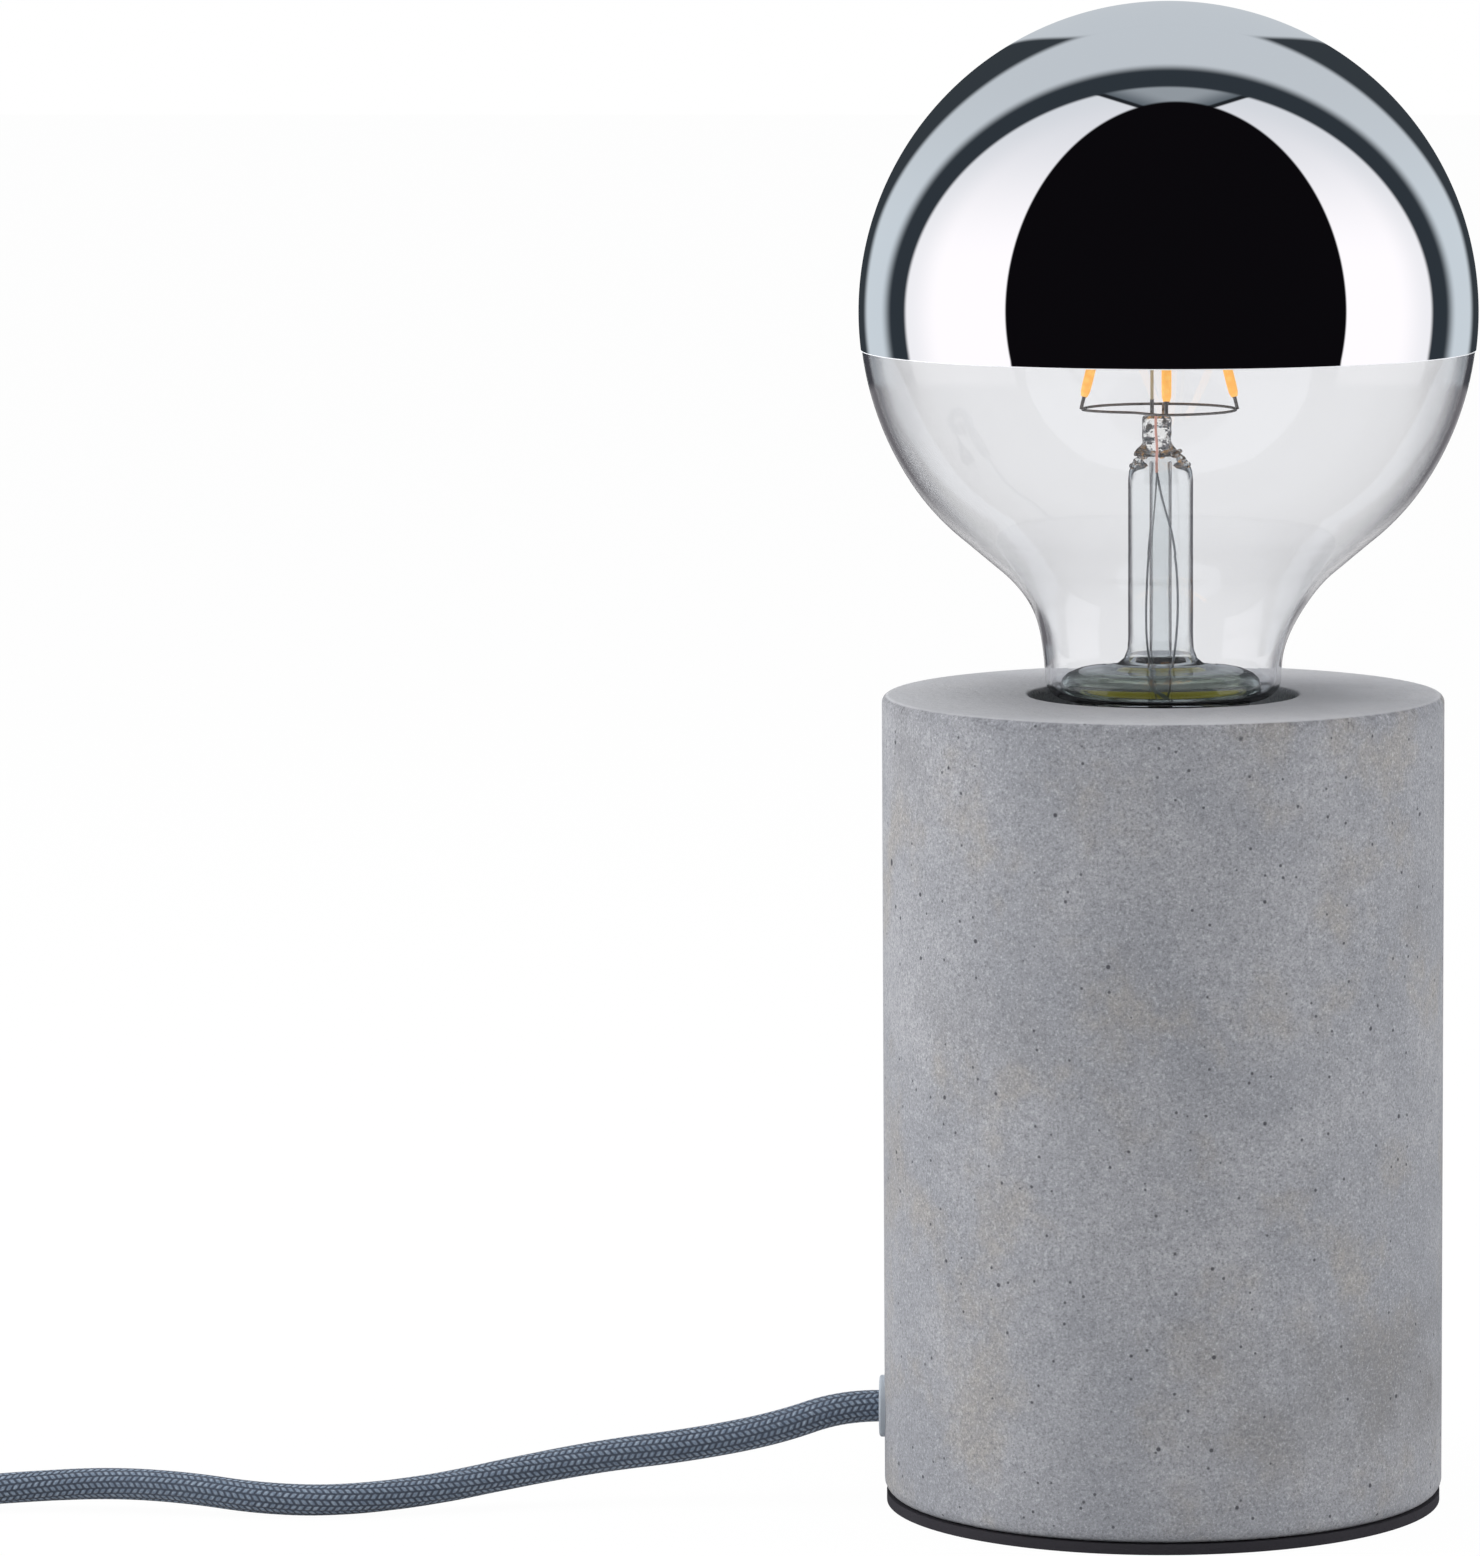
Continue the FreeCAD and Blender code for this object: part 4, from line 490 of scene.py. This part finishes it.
# ---------------------------------------------------------------- bulb glass
GLOBE_Z, GLOBE_R, WALL = 184.34, 47.25, 0.8
SHOULDER_R, SHOULDER_FROM, SHOULDER_TO = 38.0, 57, 38
NECK_R, NECK_STRAIGHT, THROAT_R = 18.2, 0.45, 21.0
HEEL_Z, HEEL_R, HEEL_AXIS = 125.05, 3.2, 15.0
TAIL_R, TAIL_Z, TAIL_BEND = 12.3, 119.4, 0.4
# The coat ends this far below the globe's middle, measured on the solid globe's radius.
COAT_DROP, SOLID_GLOBE_R = 5.6, 47.5
COAT_EDGE = math.degrees(math.acos(COAT_DROP / SOLID_GLOBE_R))
COAT_R, COAT_SHOWN = GLOBE_R + 0.05, 0.10


def bulb_side(inset):
    """The glass outline from the crown down to the tail, inset by the wall."""
    points = [(0.0, GLOBE_Z + GLOBE_R - inset)]
    points += arc(0, GLOBE_Z, GLOBE_R - inset, 180, SHOULDER_FROM, 72)[1:]
    cx, cz = arc(0, GLOBE_Z, GLOBE_R - SHOULDER_R, SHOULDER_FROM, SHOULDER_FROM, 1)[0]
    points += arc(cx, cz, SHOULDER_R - inset, SHOULDER_FROM, SHOULDER_TO, 12)[1:]
    points += arc(NECK_R + THROAT_R, HEEL_Z + HEEL_R + NECK_STRAIGHT, THROAT_R + inset, 218, 270, 22)
    points += [(NECK_R - inset, HEEL_Z + HEEL_R)]
    points += arc(HEEL_AXIS, HEEL_Z + HEEL_R, HEEL_R - inset, 90, 0, 14)[1:]
    bend = TAIL_BEND + inset
    points += arc(TAIL_R - inset + bend, HEEL_Z + inset - bend, bend, 180, 270, 6)
    points += [(TAIL_R - inset, TAIL_Z)]
    return points


# In metres: the height where the sideways move starts, the rise it takes, and its amount.
SETTLE_FROM, SETTLE_OVER, SETTLE_BY = 0.131, 0.010, 0.00082


def settle(piece):
    """The blown globe sits a little to one side of its neck."""
    for vertex in piece.data.vertices:
        share = min(1.0, max(0.0, (vertex.co.z - SETTLE_FROM) / SETTLE_OVER))
        vertex.co.x += SETTLE_BY * share * share * (3 - 2 * share)
    return piece


glass = settle(lathe("globe_glass", bulb_side(0.0) + bulb_side(WALL)[::-1], GLASS, "bulb",
                     sides=192, closed=True))
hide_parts("glass_envelope")

coat_out = arc(0, GLOBE_Z, COAT_R + COAT_SHOWN, 180, COAT_EDGE, 96)
coat_in = arc(0, GLOBE_Z, COAT_R, 180, COAT_EDGE, 96)
coat_out[0] = (0.0, coat_out[0][1])
coat_in[0] = (0.0, coat_in[0][1])
coat = settle(lathe("mirror_crown", coat_out + coat_in[::-1], MIRROR, "bulb", sides=256, closed=True))
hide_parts("mirror_coating")
edge_r, edge_z = coat_out[-1]
EDGE_BEAD = [(0.0, 0.0), (0.02, -0.05), (0.0, -0.12), (-0.13, -0.14), (-0.15, -0.01)]
settle(lathe("coating_edge", [(edge_r + r, edge_z + z) for r, z in EDGE_BEAD], BRIGHT_EDGE, "bulb",
             sides=256, closed=True))

# ---------------------------------------------------------------- stem and press
STEM_X = -0.4
FLARE_TOP = 130.2
STEM_SIDE = [
    (14.7, 126.15), (15.6, 126.15), (15.5, 127.2), (15.1, 128.2), (14.2, 129.0), (12.6, 129.6), (9.0, 130.0),
    (6.6, 130.5), (5.6, 131.4), (5.1, 132.8), (5.0, 135.0), (5.0, 158.6), (4.85, 160.0), (4.3, 161.4),
    (3.3, 162.5), (2.2, 163.1), (1.2, 163.2), (1.2, 162.95), (2.1, 162.85), (3.1, 162.3), (4.05, 161.2),
    (4.6, 159.9), (4.75, 158.6), (4.7, 135.0), (4.8, 132.6), (5.4, 130.9), (8.8, 129.5), (12.3, 129.0),
    (13.7, 128.4), (14.4, 127.7), (14.7, 127.0),
]
stem = lathe("stem_tube", STEM_SIDE, STEM_GLASS, "bulb", sides=96, closed=True, axis=(STEM_X, 0))
stem.data.materials.append(FLARE_GLASS)
for polygon in stem.data.polygons:
    if polygon.center.z < FLARE_TOP * MM:
        polygon.material_index = 1
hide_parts("glass_stem")

PRESS_SIDES, PRESS_ROWS = 28, 30
PRESS_X, PRESS_LOW, PRESS_HEIGHT = 1.0, 162.5, 6.1
PRESS_WIDE, PRESS_DEEP, PRESS_SQUARE = 2.25, 4.3, 0.7
# The foot of the press swells, its last rows round off, and lumps make it uneven all over.
SWELL, SWELL_RISE = 0.55, 0.1
ROUND_ROWS, ROUND_OVER = 3, 3.6
LUMP, LUMPS_ROUND, LUMPS_UP = 0.07, 1.3, 0.8


def squared(value):
    """A cosine or sine drawn out towards the corners of a rounded box."""
    return math.copysign(abs(value) ** PRESS_SQUARE, value)


press_points = []
for k in range(PRESS_ROWS + 1):
    z = PRESS_LOW + PRESS_HEIGHT * k / PRESS_ROWS
    edge = math.sqrt(max(0.0, 1 - (max(0.0, k - PRESS_ROWS + ROUND_ROWS) / ROUND_OVER) ** 2))
    swell = 1.0 + SWELL * math.exp(-(z - PRESS_LOW - SWELL_RISE) ** 2)
    for i in range(PRESS_SIDES):
        c, s = math.cos(TAU * i / PRESS_SIDES), math.sin(TAU * i / PRESS_SIDES)
        lump = 1.0 + LUMP * noise.noise(Vector((c * LUMPS_ROUND, s * LUMPS_ROUND, z * LUMPS_UP)))
        x = PRESS_WIDE * squared(c) * edge * swell * lump - PRESS_X
        y = PRESS_DEEP * squared(s) * edge * lump
        press_points.append((x * MM, y * MM, z * MM))
mesh_piece("stem_press", press_points, tube_faces(PRESS_ROWS + 1, PRESS_SIDES), PRESS_GLASS, "bulb")

# Beads of glass round the foot of the press: x, y, z and radius.
BEADS = [(-4.6, -1.9, 160.9, 0.62), (-3.9, -2.9, 161.7, 0.75), (-2.9, -3.3, 162.5, 0.6), (1.8, -3.2, 162.9, 0.85),
         (2.7, -2.6, 162.0, 0.8), (3.6, -1.6, 161.1, 0.65), (2.5, -2.0, 163.2, 0.45), (-0.2, -3.7, 162.6, 0.55)]
BEAD_SQUASH, BEAD_STEPS = 0.8, 10
for number, (x, y, z, r) in enumerate(BEADS):
    bead_side = []
    for k in range(BEAD_STEPS + 1):
        angle = math.pi * k / BEAD_STEPS
        bead_side.append((max(0.0, r * math.sin(angle)), z - r * BEAD_SQUASH * math.cos(angle)))
    lathe(f"stem_bead_{number}", bead_side, PRESS_GLASS, "bulb", sides=20, axis=(x, y))

PUMP_SIDE = [(1.7, 161.4), (1.7, 114.0), (1.4, 112.6), (0.6, 112.0), (0.0, 112.0), (0.0, 112.5), (0.5, 112.6),
             (1.2, 113.3), (1.5, 114.3), (1.5, 161.4)]
pump = lathe("pump_tube", PUMP_SIDE, STEM_GLASS, "bulb", sides=48, closed=True, axis=(STEM_X, 0))
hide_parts("exhaust_tube")

# ---------------------------------------------------------------- filaments and wires
FILAMENTS = 4
RING_R, RING_X, RING_Z = 11.75, -0.6, 169.45
MIDDLE_X = 0.5
LEAN = math.radians(14.0)
FOOT_RISE, FILAMENT_LIFT = 1.0, 1.6
FILAMENT_SIDE = [
    (0.0, -2.6), (0.26, -2.6), (0.28, -0.7), (0.50, -0.6), (0.70, 0.1), (0.75, 1.2), (0.75, 34.8), (0.72, 35.5),
    (0.55, 35.9), (0.25, 36.0), (0.22, 37.6), (0.0, 37.6),
]
# The coated stretch along a filament, in metres.
COATED_FROM, COATED_TO = -0.00062, 0.036
for number in range(FILAMENTS):
    bar = lathe(f"filament_{number + 1}", FILAMENT_SIDE, PHOSPHOR_PAINTED_GLOW, "bulb", sides=20)
    heading = Matrix.Rotation(TAU * number / FILAMENTS, 4, "Z")
    turn = heading @ Matrix.Rotation(-LEAN, 4, "Y")
    foot = heading @ Vector((RING_R * MM, 0, (RING_Z + FOOT_RISE) * MM))
    foot.x += MIDDLE_X * MM if number % 2 else RING_X * MM
    lift = turn.to_3x3() @ Vector((0, 0, FILAMENT_LIFT * MM))
    stand = Matrix.Translation(foot + lift) @ turn
    bar.data.transform(stand)
    # The wire ends of each filament are bare steel.
    bar.data.materials.append(STEEL_WIRE)
    for polygon in bar.data.polygons:
        if not COATED_FROM <= (stand.inverted() @ polygon.center).z <= COATED_TO:
            polygon.material_index = 1
    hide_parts(f"led_filament_{number + 1}")


def ring_path(radius, z, steps=96):
    """The lower hoop, which is bent in a little at its front left."""
    path = []
    for i in range(steps + 1):
        x, y = radius * math.cos(TAU * i / steps), radius * math.sin(TAU * i / steps)
        pull = 0.4 * max(0.0, min(1.0, -x / 4.0)) if y < 0 else 0.0
        path.append(Vector((x + RING_X, y * (1 - pull), z)) * MM)
    return path


def post_path(x, heights):
    return [Vector((x, 0, z)) * MM for z in heights]


# Diameters in metres.
HOOP_WIRE, POST_WIRE, FOOT_WIRE = 0.00042, 0.0005, 0.0006
COPPER_THICK, LEAD_THICK, SLEEVE_THICK = 0.0004, 0.00036, 0.0009
POST_X = -1.72
WIRE_STEPS = 12
ring = wire("filament_hoop", ring_path(RING_R, RING_Z), HOOP_WIRE, STEEL_WIRE, "bulb")
SPOKE_SIDE = [(2.6, 167.6), (3.0, 169.3), (5.0, RING_Z), (RING_R, RING_Z)]
for way in (-1, 1):
    spoke = [Vector((0, way * y, z)) * MM for y, z in SPOKE_SIDE]
    wire(f"hoop_spoke_{way + 2}", spoke, HOOP_WIRE, STEEL_WIRE, "bulb")
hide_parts("filament_ring")
support = wire("support_post", post_path(POST_X, (171.0, 180.0, 195.0, 208.2)), POST_WIRE, PALE_WIRE, "bulb")
wire("support_foot", post_path(POST_X, (166.5, 168.0, 171.0)), FOOT_WIRE, STEEL_WIRE, "bulb")
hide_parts("support_wire")
NODES["filament_crown"].material_slots[0].material = STEEL_WIRE

# Routes in metres.
COPPER_ROUTE = [(-0.0011, -0.0042, 0.1687), (-0.0012, -0.0047, 0.1670), (-0.0009, -0.0048, 0.1640),
                (-0.0010, -0.0046, 0.1625), (-0.0010, -0.0022, 0.1600)]
LEAD_1_ROUTE = [
    (-0.0010, -0.0022, 0.1600), (-0.0003, -0.0026, 0.1560), (0.0016, -0.0027, 0.1500), (0.0023, -0.0026, 0.1420),
    (0.0020, -0.0026, 0.1345), (0.0012, -0.0027, 0.1290), (0.0004, -0.0026, 0.1215), (0.0, -0.0026, 0.1116)]
LEAD_2_ROUTE = [
    (-0.0010, 0.0022, 0.1600), (-0.0014, 0.0026, 0.1550), (-0.0022, 0.0024, 0.1490), (-0.0027, 0.0016, 0.1400),
    (-0.0026, 0.0018, 0.1330), (-0.0014, 0.0026, 0.1260), (0.0, 0.0026, 0.1116)]
SLEEVE_ROUTE = [
    (-0.0022, -0.0030, 0.1290), (-0.0012, -0.0031, 0.1265), (0.0006, -0.0031, 0.1240), (0.0018, -0.0029, 0.1200),
    (0.0020, -0.0028, 0.1130)]
wire("copper_lead", spline_points(COPPER_ROUTE, WIRE_STEPS), COPPER_THICK, COPPER_WIRE_PAINTED_GLOW, "bulb")
lead_1 = wire("lead_thread_1", spline_points(LEAD_1_ROUTE, WIRE_STEPS), LEAD_THICK, LEAD_WIRE, "bulb")
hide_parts("lead_wire_1")
lead_2 = wire("lead_thread_2", spline_points(LEAD_2_ROUTE, WIRE_STEPS), LEAD_THICK, LEAD_WIRE, "bulb")
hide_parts("lead_wire_2")
wire("wire_sleeve_1", spline_points(SLEEVE_ROUTE, WIRE_STEPS), SLEEVE_THICK, SLEEVE, "bulb")

# ---------------------------------------------------------------- cord
RUN = [
    (-44.05, 0, 14.4), (-50, 0, 14.4), (-60, -0.9, 11.0), (-73, -2.2, 8.7), (-87, -4.0, 7.3), (-100, -6.6, 5.3),
    (-113, -10.6, 3.2), (-127, -15.2, 2.5), (-139, -14.2, 2.7), (-150, -11.5, 3.8), (-162, -9.4, 4.2),
    (-175, -8.8, 3.5), (-188, -9.5, 2.6), (-200, -11.2, 2.6), (-211, -12.7, 5.4), (-221, -13, 9), (-231, -13, 9),
]
LINK = [(-289, -13, 9), (-298, -13, 9), (-307, -14.8, 6.3), (-315.2, -20.0, 4.3), (-322.5, -25.0, 3.5),
        (-330, -27.4, 3.3)]
TAIL = [(-331, 55.4, 9.2), (-324, 54.6, 8.6), (-316.6, 51.4, 7.7), (-309.6, 46.2, 7.1), (-303.2, 41.9, 6.9),
        (-296.5, 40, 6.85), (-290, 40, 6.85)]
INNER = [(-44.0, 0, 14.4), (-36, 0, 14.4), (-24, 0, 14.4), (-12, 0, 14.4)]
COIL_X, COIL_Y, COIL_R, PITCH, LAPS, CLIMB = -342.0, 14.0, 41.4, 5.4, 3.5, 0.5
COIL_Z, LAYER = 3.3, 5.9
YARNS, CROSSING = 16, 1.05 * MM
# The oval section turns to and fro along the cord, by a sine of its length in metres.
TWIST_RATE, TWIST_START = 38.0, 0.6
# Points nearer than this, in metres, count as one.
CLOSEST = 1e-5


def coil_points(per_turn):
    """The put-away turns: in along the lower layer, up in half a turn, and out along the upper."""
    inside = COIL_R - PITCH * LAPS
    total = 2 * LAPS + CLIMB
    count = int(total * per_turn)
    points = []
    for i in range(count + 1):
        turns = total * i / count
        if turns <= LAPS:
            radius, rise = COIL_R - PITCH * turns, 0.0
        elif turns >= LAPS + CLIMB:
            radius, rise = inside + PITCH * (turns - LAPS - CLIMB), 1.0
        else:
            done = turns - LAPS
            share = done / CLIMB
            radius = inside - PITCH * (done - done * done / CLIMB)
            rise = share * share * (3 - 2 * share)
        angle = -math.pi / 2 - TAU * turns
        points.append((COIL_X + radius * math.cos(angle), COIL_Y + radius * math.sin(angle),
                       COIL_Z + LAYER * rise))
    return points


def woven_cord(name, points, width, depth, resolution, twist=0.0, around=28):
    """A braided cord as a tube with an oval section that turns slowly along it.

    Gives the piece, its path and its length."""
    path = spline_points([tuple(c * MM for c in p) for p in points], resolution)
    dense = [path[0]]
    for point in path[1:]:
        if (point - dense[-1]).length > CLOSEST:
            dense.append(point)
    run = [0.0]
    for a, b in zip(dense, dense[1:]):
        run.append(run[-1] + (b - a).length)
    verts = []
    for (centre, side, up), length in zip(frames_along(dense), run):
        turn = twist * math.sin(length * TWIST_RATE + TWIST_START)
        for i in range(around):
            angle = TAU * i / around
            x, y = width / 2 * math.cos(angle), depth / 2 * math.sin(angle)
            across = x * math.cos(turn) - y * math.sin(turn)
            high = x * math.sin(turn) + y * math.cos(turn)
            verts.append(tuple(centre + side * across + up * high))
    uvs = []
    for start, end in zip(run, run[1:]):
        low, high = start / CROSSING, end / CROSSING
        for i in range(around):
            left, right = YARNS * i / around, YARNS * (i + 1) / around
            uvs += [(left, low), (right, low), (right, high), (left, high)]
    uvs += [(0, 0)] * (2 * around)
    piece = mesh_piece(name, verts, tube_faces(len(dense), around), BRAID, "lamp_base", uvs=uvs)
    return piece, path, run[-1]


first, first_path, first_length = woven_cord("cord_run", RUN, 5.3 * MM, 4.7 * MM, 10, twist=0.7)
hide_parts("flex_run")
rest, rest_path, rest_length = woven_cord("cord_rest", LINK + coil_points(16) + TAIL, 5.0 * MM, 4.6 * MM, 3,
                                          around=20)
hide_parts("flex_link", "flex_coil", "flex_tail")
inner_cord, _, _ = woven_cord("cord_inner", INNER, 4.7 * MM, 4.6 * MM, 6)
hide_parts("flex_inner")
switch_nodes = ["switch_lower", "switch_upper", "switch_rocker", "rocker_pin", "switch_screws", "switch_contacts"]
plug_nodes = ["plug_body", "plug_pins", "pin_sleeves", "plug_relief"]

# What lies beyond the photograph's view is kept out of reflections too, since its mirror shows none of it.
for piece in [rest] + [NODES[n] for n in ["coil_tie"] + switch_nodes + plug_nodes]:
    piece.visible_glossy = False

# ---------------------------------------------------------------- studio, as the mirror and the glass see it
GAP_DARK = (0.085, 0.078, 0.092)
ROOM = (0.62, 0.63, 0.65)
FRONT_TILT = math.radians(3.6)
# The pattern is laid out on a mirrored ball of radius 1: u across from its middle, w up.
ARCH_MIDDLE, ARCH_WIDE, ARCH_HIGH, ARCH_POWER = 0.023, 0.542, 0.667, 1.95
ARCH_BLACK = (0.0035, 0.003, 0.004)
PANEL_LOW, PANEL_HIGH, PANEL_OUTER = (1.08, 1.04, 1.06), (0.74, 0.75, 0.79), (0.62, 0.66, 0.70)
PANEL_REACH, REACH_DROP, BAND_SPREAD = 0.842, -0.250, 0.040
SEAM_HIGH, SEAM_SLOPE = 0.613, 0.318
SEAM_DARK, LENS_DARK, LENS_PALE = (0.015, 0.018, 0.022), (0.10, 0.12, 0.14), (0.30, 0.33, 0.36)
BAND_DARK = (0.028, 0.036, 0.045)
WALL_LOW, WALL_HIGH = (0.60, 0.66, 0.71), (0.54, 0.58, 0.62)
RIM_REACH, RIM_DROP = 0.972, 0.052
RIM_DARK = (0.034, 0.042, 0.050)
GROUND = (0.25, 0.245, 0.26)


def dot(graph, vector, axis):
    return graph.node("ShaderNodeVectorMath", {0: vector, 1: axis}, operation="DOT_PRODUCT").outputs["Value"]


def studio_pattern(graph, way):
    """Side panels about a dark arch, under a lens-shaped seam, with a pale wall round them.

    The half vector between a direction and the line out of the front gives its place on a ball."""
    toward = (0.0, -math.cos(FRONT_TILT), math.sin(FRONT_TILT))
    upright = (0.0, math.sin(FRONT_TILT), math.cos(FRONT_TILT))
    half = graph.node("ShaderNodeVectorMath", {0: way, 1: toward}, operation="ADD").outputs[0]
    half = graph.node("ShaderNodeVectorMath", {0: half}, operation="NORMALIZE").outputs[0]
    u = dot(graph, half, (1.0, 0.0, 0.0))
    w = dot(graph, half, upright)
    radius = graph.math("SQRT", graph.plus(graph.times(u, u), graph.times(w, w)))
    middle = graph.size(graph.minus(u, ARCH_MIDDLE))
    high = graph.math("POWER", graph.math("MAXIMUM", w, 0.0), 2.0)

    # Panels, darker towards their outer edge, and the band and wall past it.
    past = graph.minus(radius, graph.plus(PANEL_REACH, graph.times(high, REACH_DROP)))
    beyond = graph.minus(past, graph.times(high, BAND_SPREAD))
    panel = graph.blend(graph.smooth(w, 0.15, 0.68), PANEL_LOW, PANEL_HIGH)
    panel = graph.blend(graph.times(graph.smooth(past, -0.11, -0.01), 0.35), panel, PANEL_OUTER)
    seam = graph.minus(w, graph.plus(SEAM_HIGH, graph.times(middle, SEAM_SLOPE)))
    lens = graph.blend(graph.smooth(seam, 0.0, 0.06), LENS_DARK, LENS_PALE)
    panel = graph.blend(graph.smooth(seam, -0.002, 0.004), panel, lens)
    line = graph.smooth(graph.size(graph.minus(seam, 0.001)), 0.003, 0.010, 1.0, 0.0)
    panel = graph.blend(line, panel, SEAM_DARK)
    wall = graph.blend(graph.smooth(w, 0.2, 0.8), WALL_LOW, WALL_HIGH)
    panel = graph.blend(graph.smooth(past, -0.008, 0.006), panel, BAND_DARK)
    panel = graph.blend(graph.smooth(beyond, 0.044, 0.082), panel, wall)

    # A thin dark line near the ball's edge.
    rim_low = graph.minus(RIM_REACH, graph.times(graph.smooth(w, 0.25, 0.92), RIM_DROP))
    rim_high = graph.smooth(graph.size(u), 0.20, 0.62, 0.918, 1.030)
    rim = graph.times(graph.smooth(graph.minus(radius, rim_low), -0.008, 0.010),
                      graph.smooth(graph.minus(rim_high, radius), 0.0, 0.014))
    panel = graph.blend(rim, panel, RIM_DARK)

    # The arch, and the ground below all.
    arch = graph.plus(graph.math("POWER", graph.math("DIVIDE", middle, ARCH_WIDE), ARCH_POWER),
                      graph.math("POWER", graph.math("DIVIDE", graph.size(w), ARCH_HIGH), ARCH_POWER))
    pattern = graph.blend(graph.smooth(arch, 0.988, 1.012), ARCH_BLACK, panel)
    return graph.blend(graph.smooth(w, -0.250, -0.215), GROUND, pattern)


def world_light():
    """White where the camera looks, soft light for the lamp, and the studio in the mirror."""
    world = bpy.data.worlds.new("studio")
    bpy.context.scene.world = world
    world.use_nodes = True
    graph = Graph(world.node_tree)
    way = graph.node("ShaderNodeTexCoord").outputs["Generated"]
    # A dark gap borders the wall behind the lamp, and light that the glass bends a little comes from it.
    forward = dot(graph, way, (0.0, math.cos(FRONT_TILT), -math.sin(FRONT_TILT)))
    gap = graph.times(graph.smooth(forward, 0.9955, 0.975), graph.smooth(forward, 0.74, 0.90))
    behind = graph.blend(gap, WHITE, GAP_DARK)
    path = graph.node("ShaderNodeLightPath")
    colour = graph.blend(path.outputs["Is Camera Ray"], ROOM, WHITE)
    colour = graph.blend(path.outputs["Is Transmission Ray"], colour, behind)
    colour = graph.blend(path.outputs["Is Glossy Ray"], colour, studio_pattern(graph, way))
    graph.end(graph.node("ShaderNodeBackground", {"Color": colour, "Strength": 1.0}), "ShaderNodeOutputWorld")


world_light()

# ---------------------------------------------------------------- floor and lamps
FLOOR_HALF = 6
FLOOR_GREY = (0.72, 0.72, 0.72)
FLOOR_WHITE_SHARE = 0.975
# The sides of the dark gap fan out from a point this far in front of the lamp.
FAN_ORIGIN = 1.24


def floor_plane():
    """A white sheet for the eye that still takes the lamp's shadow."""
    material, graph = new_material("floor")
    matt = graph.node("ShaderNodeBsdfDiffuse", {"Color": FLOOR_GREY})
    path = graph.node("ShaderNodeLightPath")
    # Seen through the glass, the sheet behind the lamp has the same dark gap at either side.
    x, y, _ = graph.parts(graph.place())
    fan = graph.math("DIVIDE", graph.size(x), graph.plus(y, FAN_ORIGIN))
    beside = graph.times(graph.smooth(fan, 0.065, 0.13), graph.smooth(fan, 0.60, 0.40))
    beside = graph.times(beside, graph.smooth(y, 0.1, 0.3))
    beside = graph.times(beside, path.outputs["Is Transmission Ray"])
    white = graph.node("ShaderNodeEmission", {"Color": graph.blend(beside, WHITE, GAP_DARK), "Strength": 1.0})
    seen = graph.math("MAXIMUM", path.outputs["Is Camera Ray"], path.outputs["Is Transmission Ray"])
    share = graph.times(seen, FLOOR_WHITE_SHARE)
    graph.end(graph.node("ShaderNodeMixShader", {0: share, 1: matt.outputs[0], 2: white.outputs[0]}))
    mesh = bpy.data.meshes.new("floor")
    mesh.from_pydata([(-FLOOR_HALF, -FLOOR_HALF, 0), (FLOOR_HALF, -FLOOR_HALF, 0), (FLOOR_HALF, FLOOR_HALF, 0),
                      (-FLOOR_HALF, FLOOR_HALF, 0)], [], [(0, 1, 2, 3)])
    mesh.materials.append(material)
    plane = bpy.data.objects.new("floor", mesh)
    bpy.context.scene.collection.objects.link(plane)
    plane.visible_glossy = False


floor_plane()
LIGHT_AIM = Vector((0, 0, 0.1))


def area_light(name, place, width, height, power):
    """A soft light aimed at the lamp, unseen in the mirror and through the glass."""
    data = bpy.data.lights.new(name, "AREA")
    data.shape = "RECTANGLE"
    data.size = width
    data.size_y = height
    data.energy = power
    data.specular_factor = 0.0
    light = bpy.data.objects.new(name, data)
    light.location = place
    light.rotation_euler = (LIGHT_AIM - Vector(place)).to_track_quat("-Z", "Y").to_euler()
    bpy.context.scene.collection.objects.link(light)
    light.visible_glossy = False
    light.visible_transmission = False


area_light("key_left", (-0.95, -0.02, 0.50), 0.7, 1.0, 8.8)
area_light("key_right", (0.95, -0.08, 0.50), 0.6, 1.0, 4.6)
area_light("top_soft", (0.0, 0.1, 1.2), 1.0, 1.0, 10.0)

# ---------------------------------------------------------------- camera, fitted to the photograph
DISTANCE, HEIGHT, TILT, FOCAL = 1.2422, 0.25886, 0.1172, 8123.4
PHOTO_WIDTH, PHOTO_HEIGHT, AXIS_COLUMN = 1480, 1556, 1163.2
SENSOR = 36.0
camera_data = bpy.data.cameras.new("camera")
camera_data.sensor_fit = "VERTICAL"
camera_data.sensor_height = SENSOR
camera_data.lens = FOCAL / PHOTO_HEIGHT * SENSOR
camera_data.shift_x = -(AXIS_COLUMN - PHOTO_WIDTH / 2) / PHOTO_HEIGHT
camera = bpy.data.objects.new("camera", camera_data)
camera.location = (0, -DISTANCE, HEIGHT)
camera.rotation_euler = (math.pi / 2 - TILT, 0, 0)
bpy.context.scene.collection.objects.link(camera)
bpy.context.scene.camera = camera
bpy.context.scene.view_settings.view_transform = "Standard"
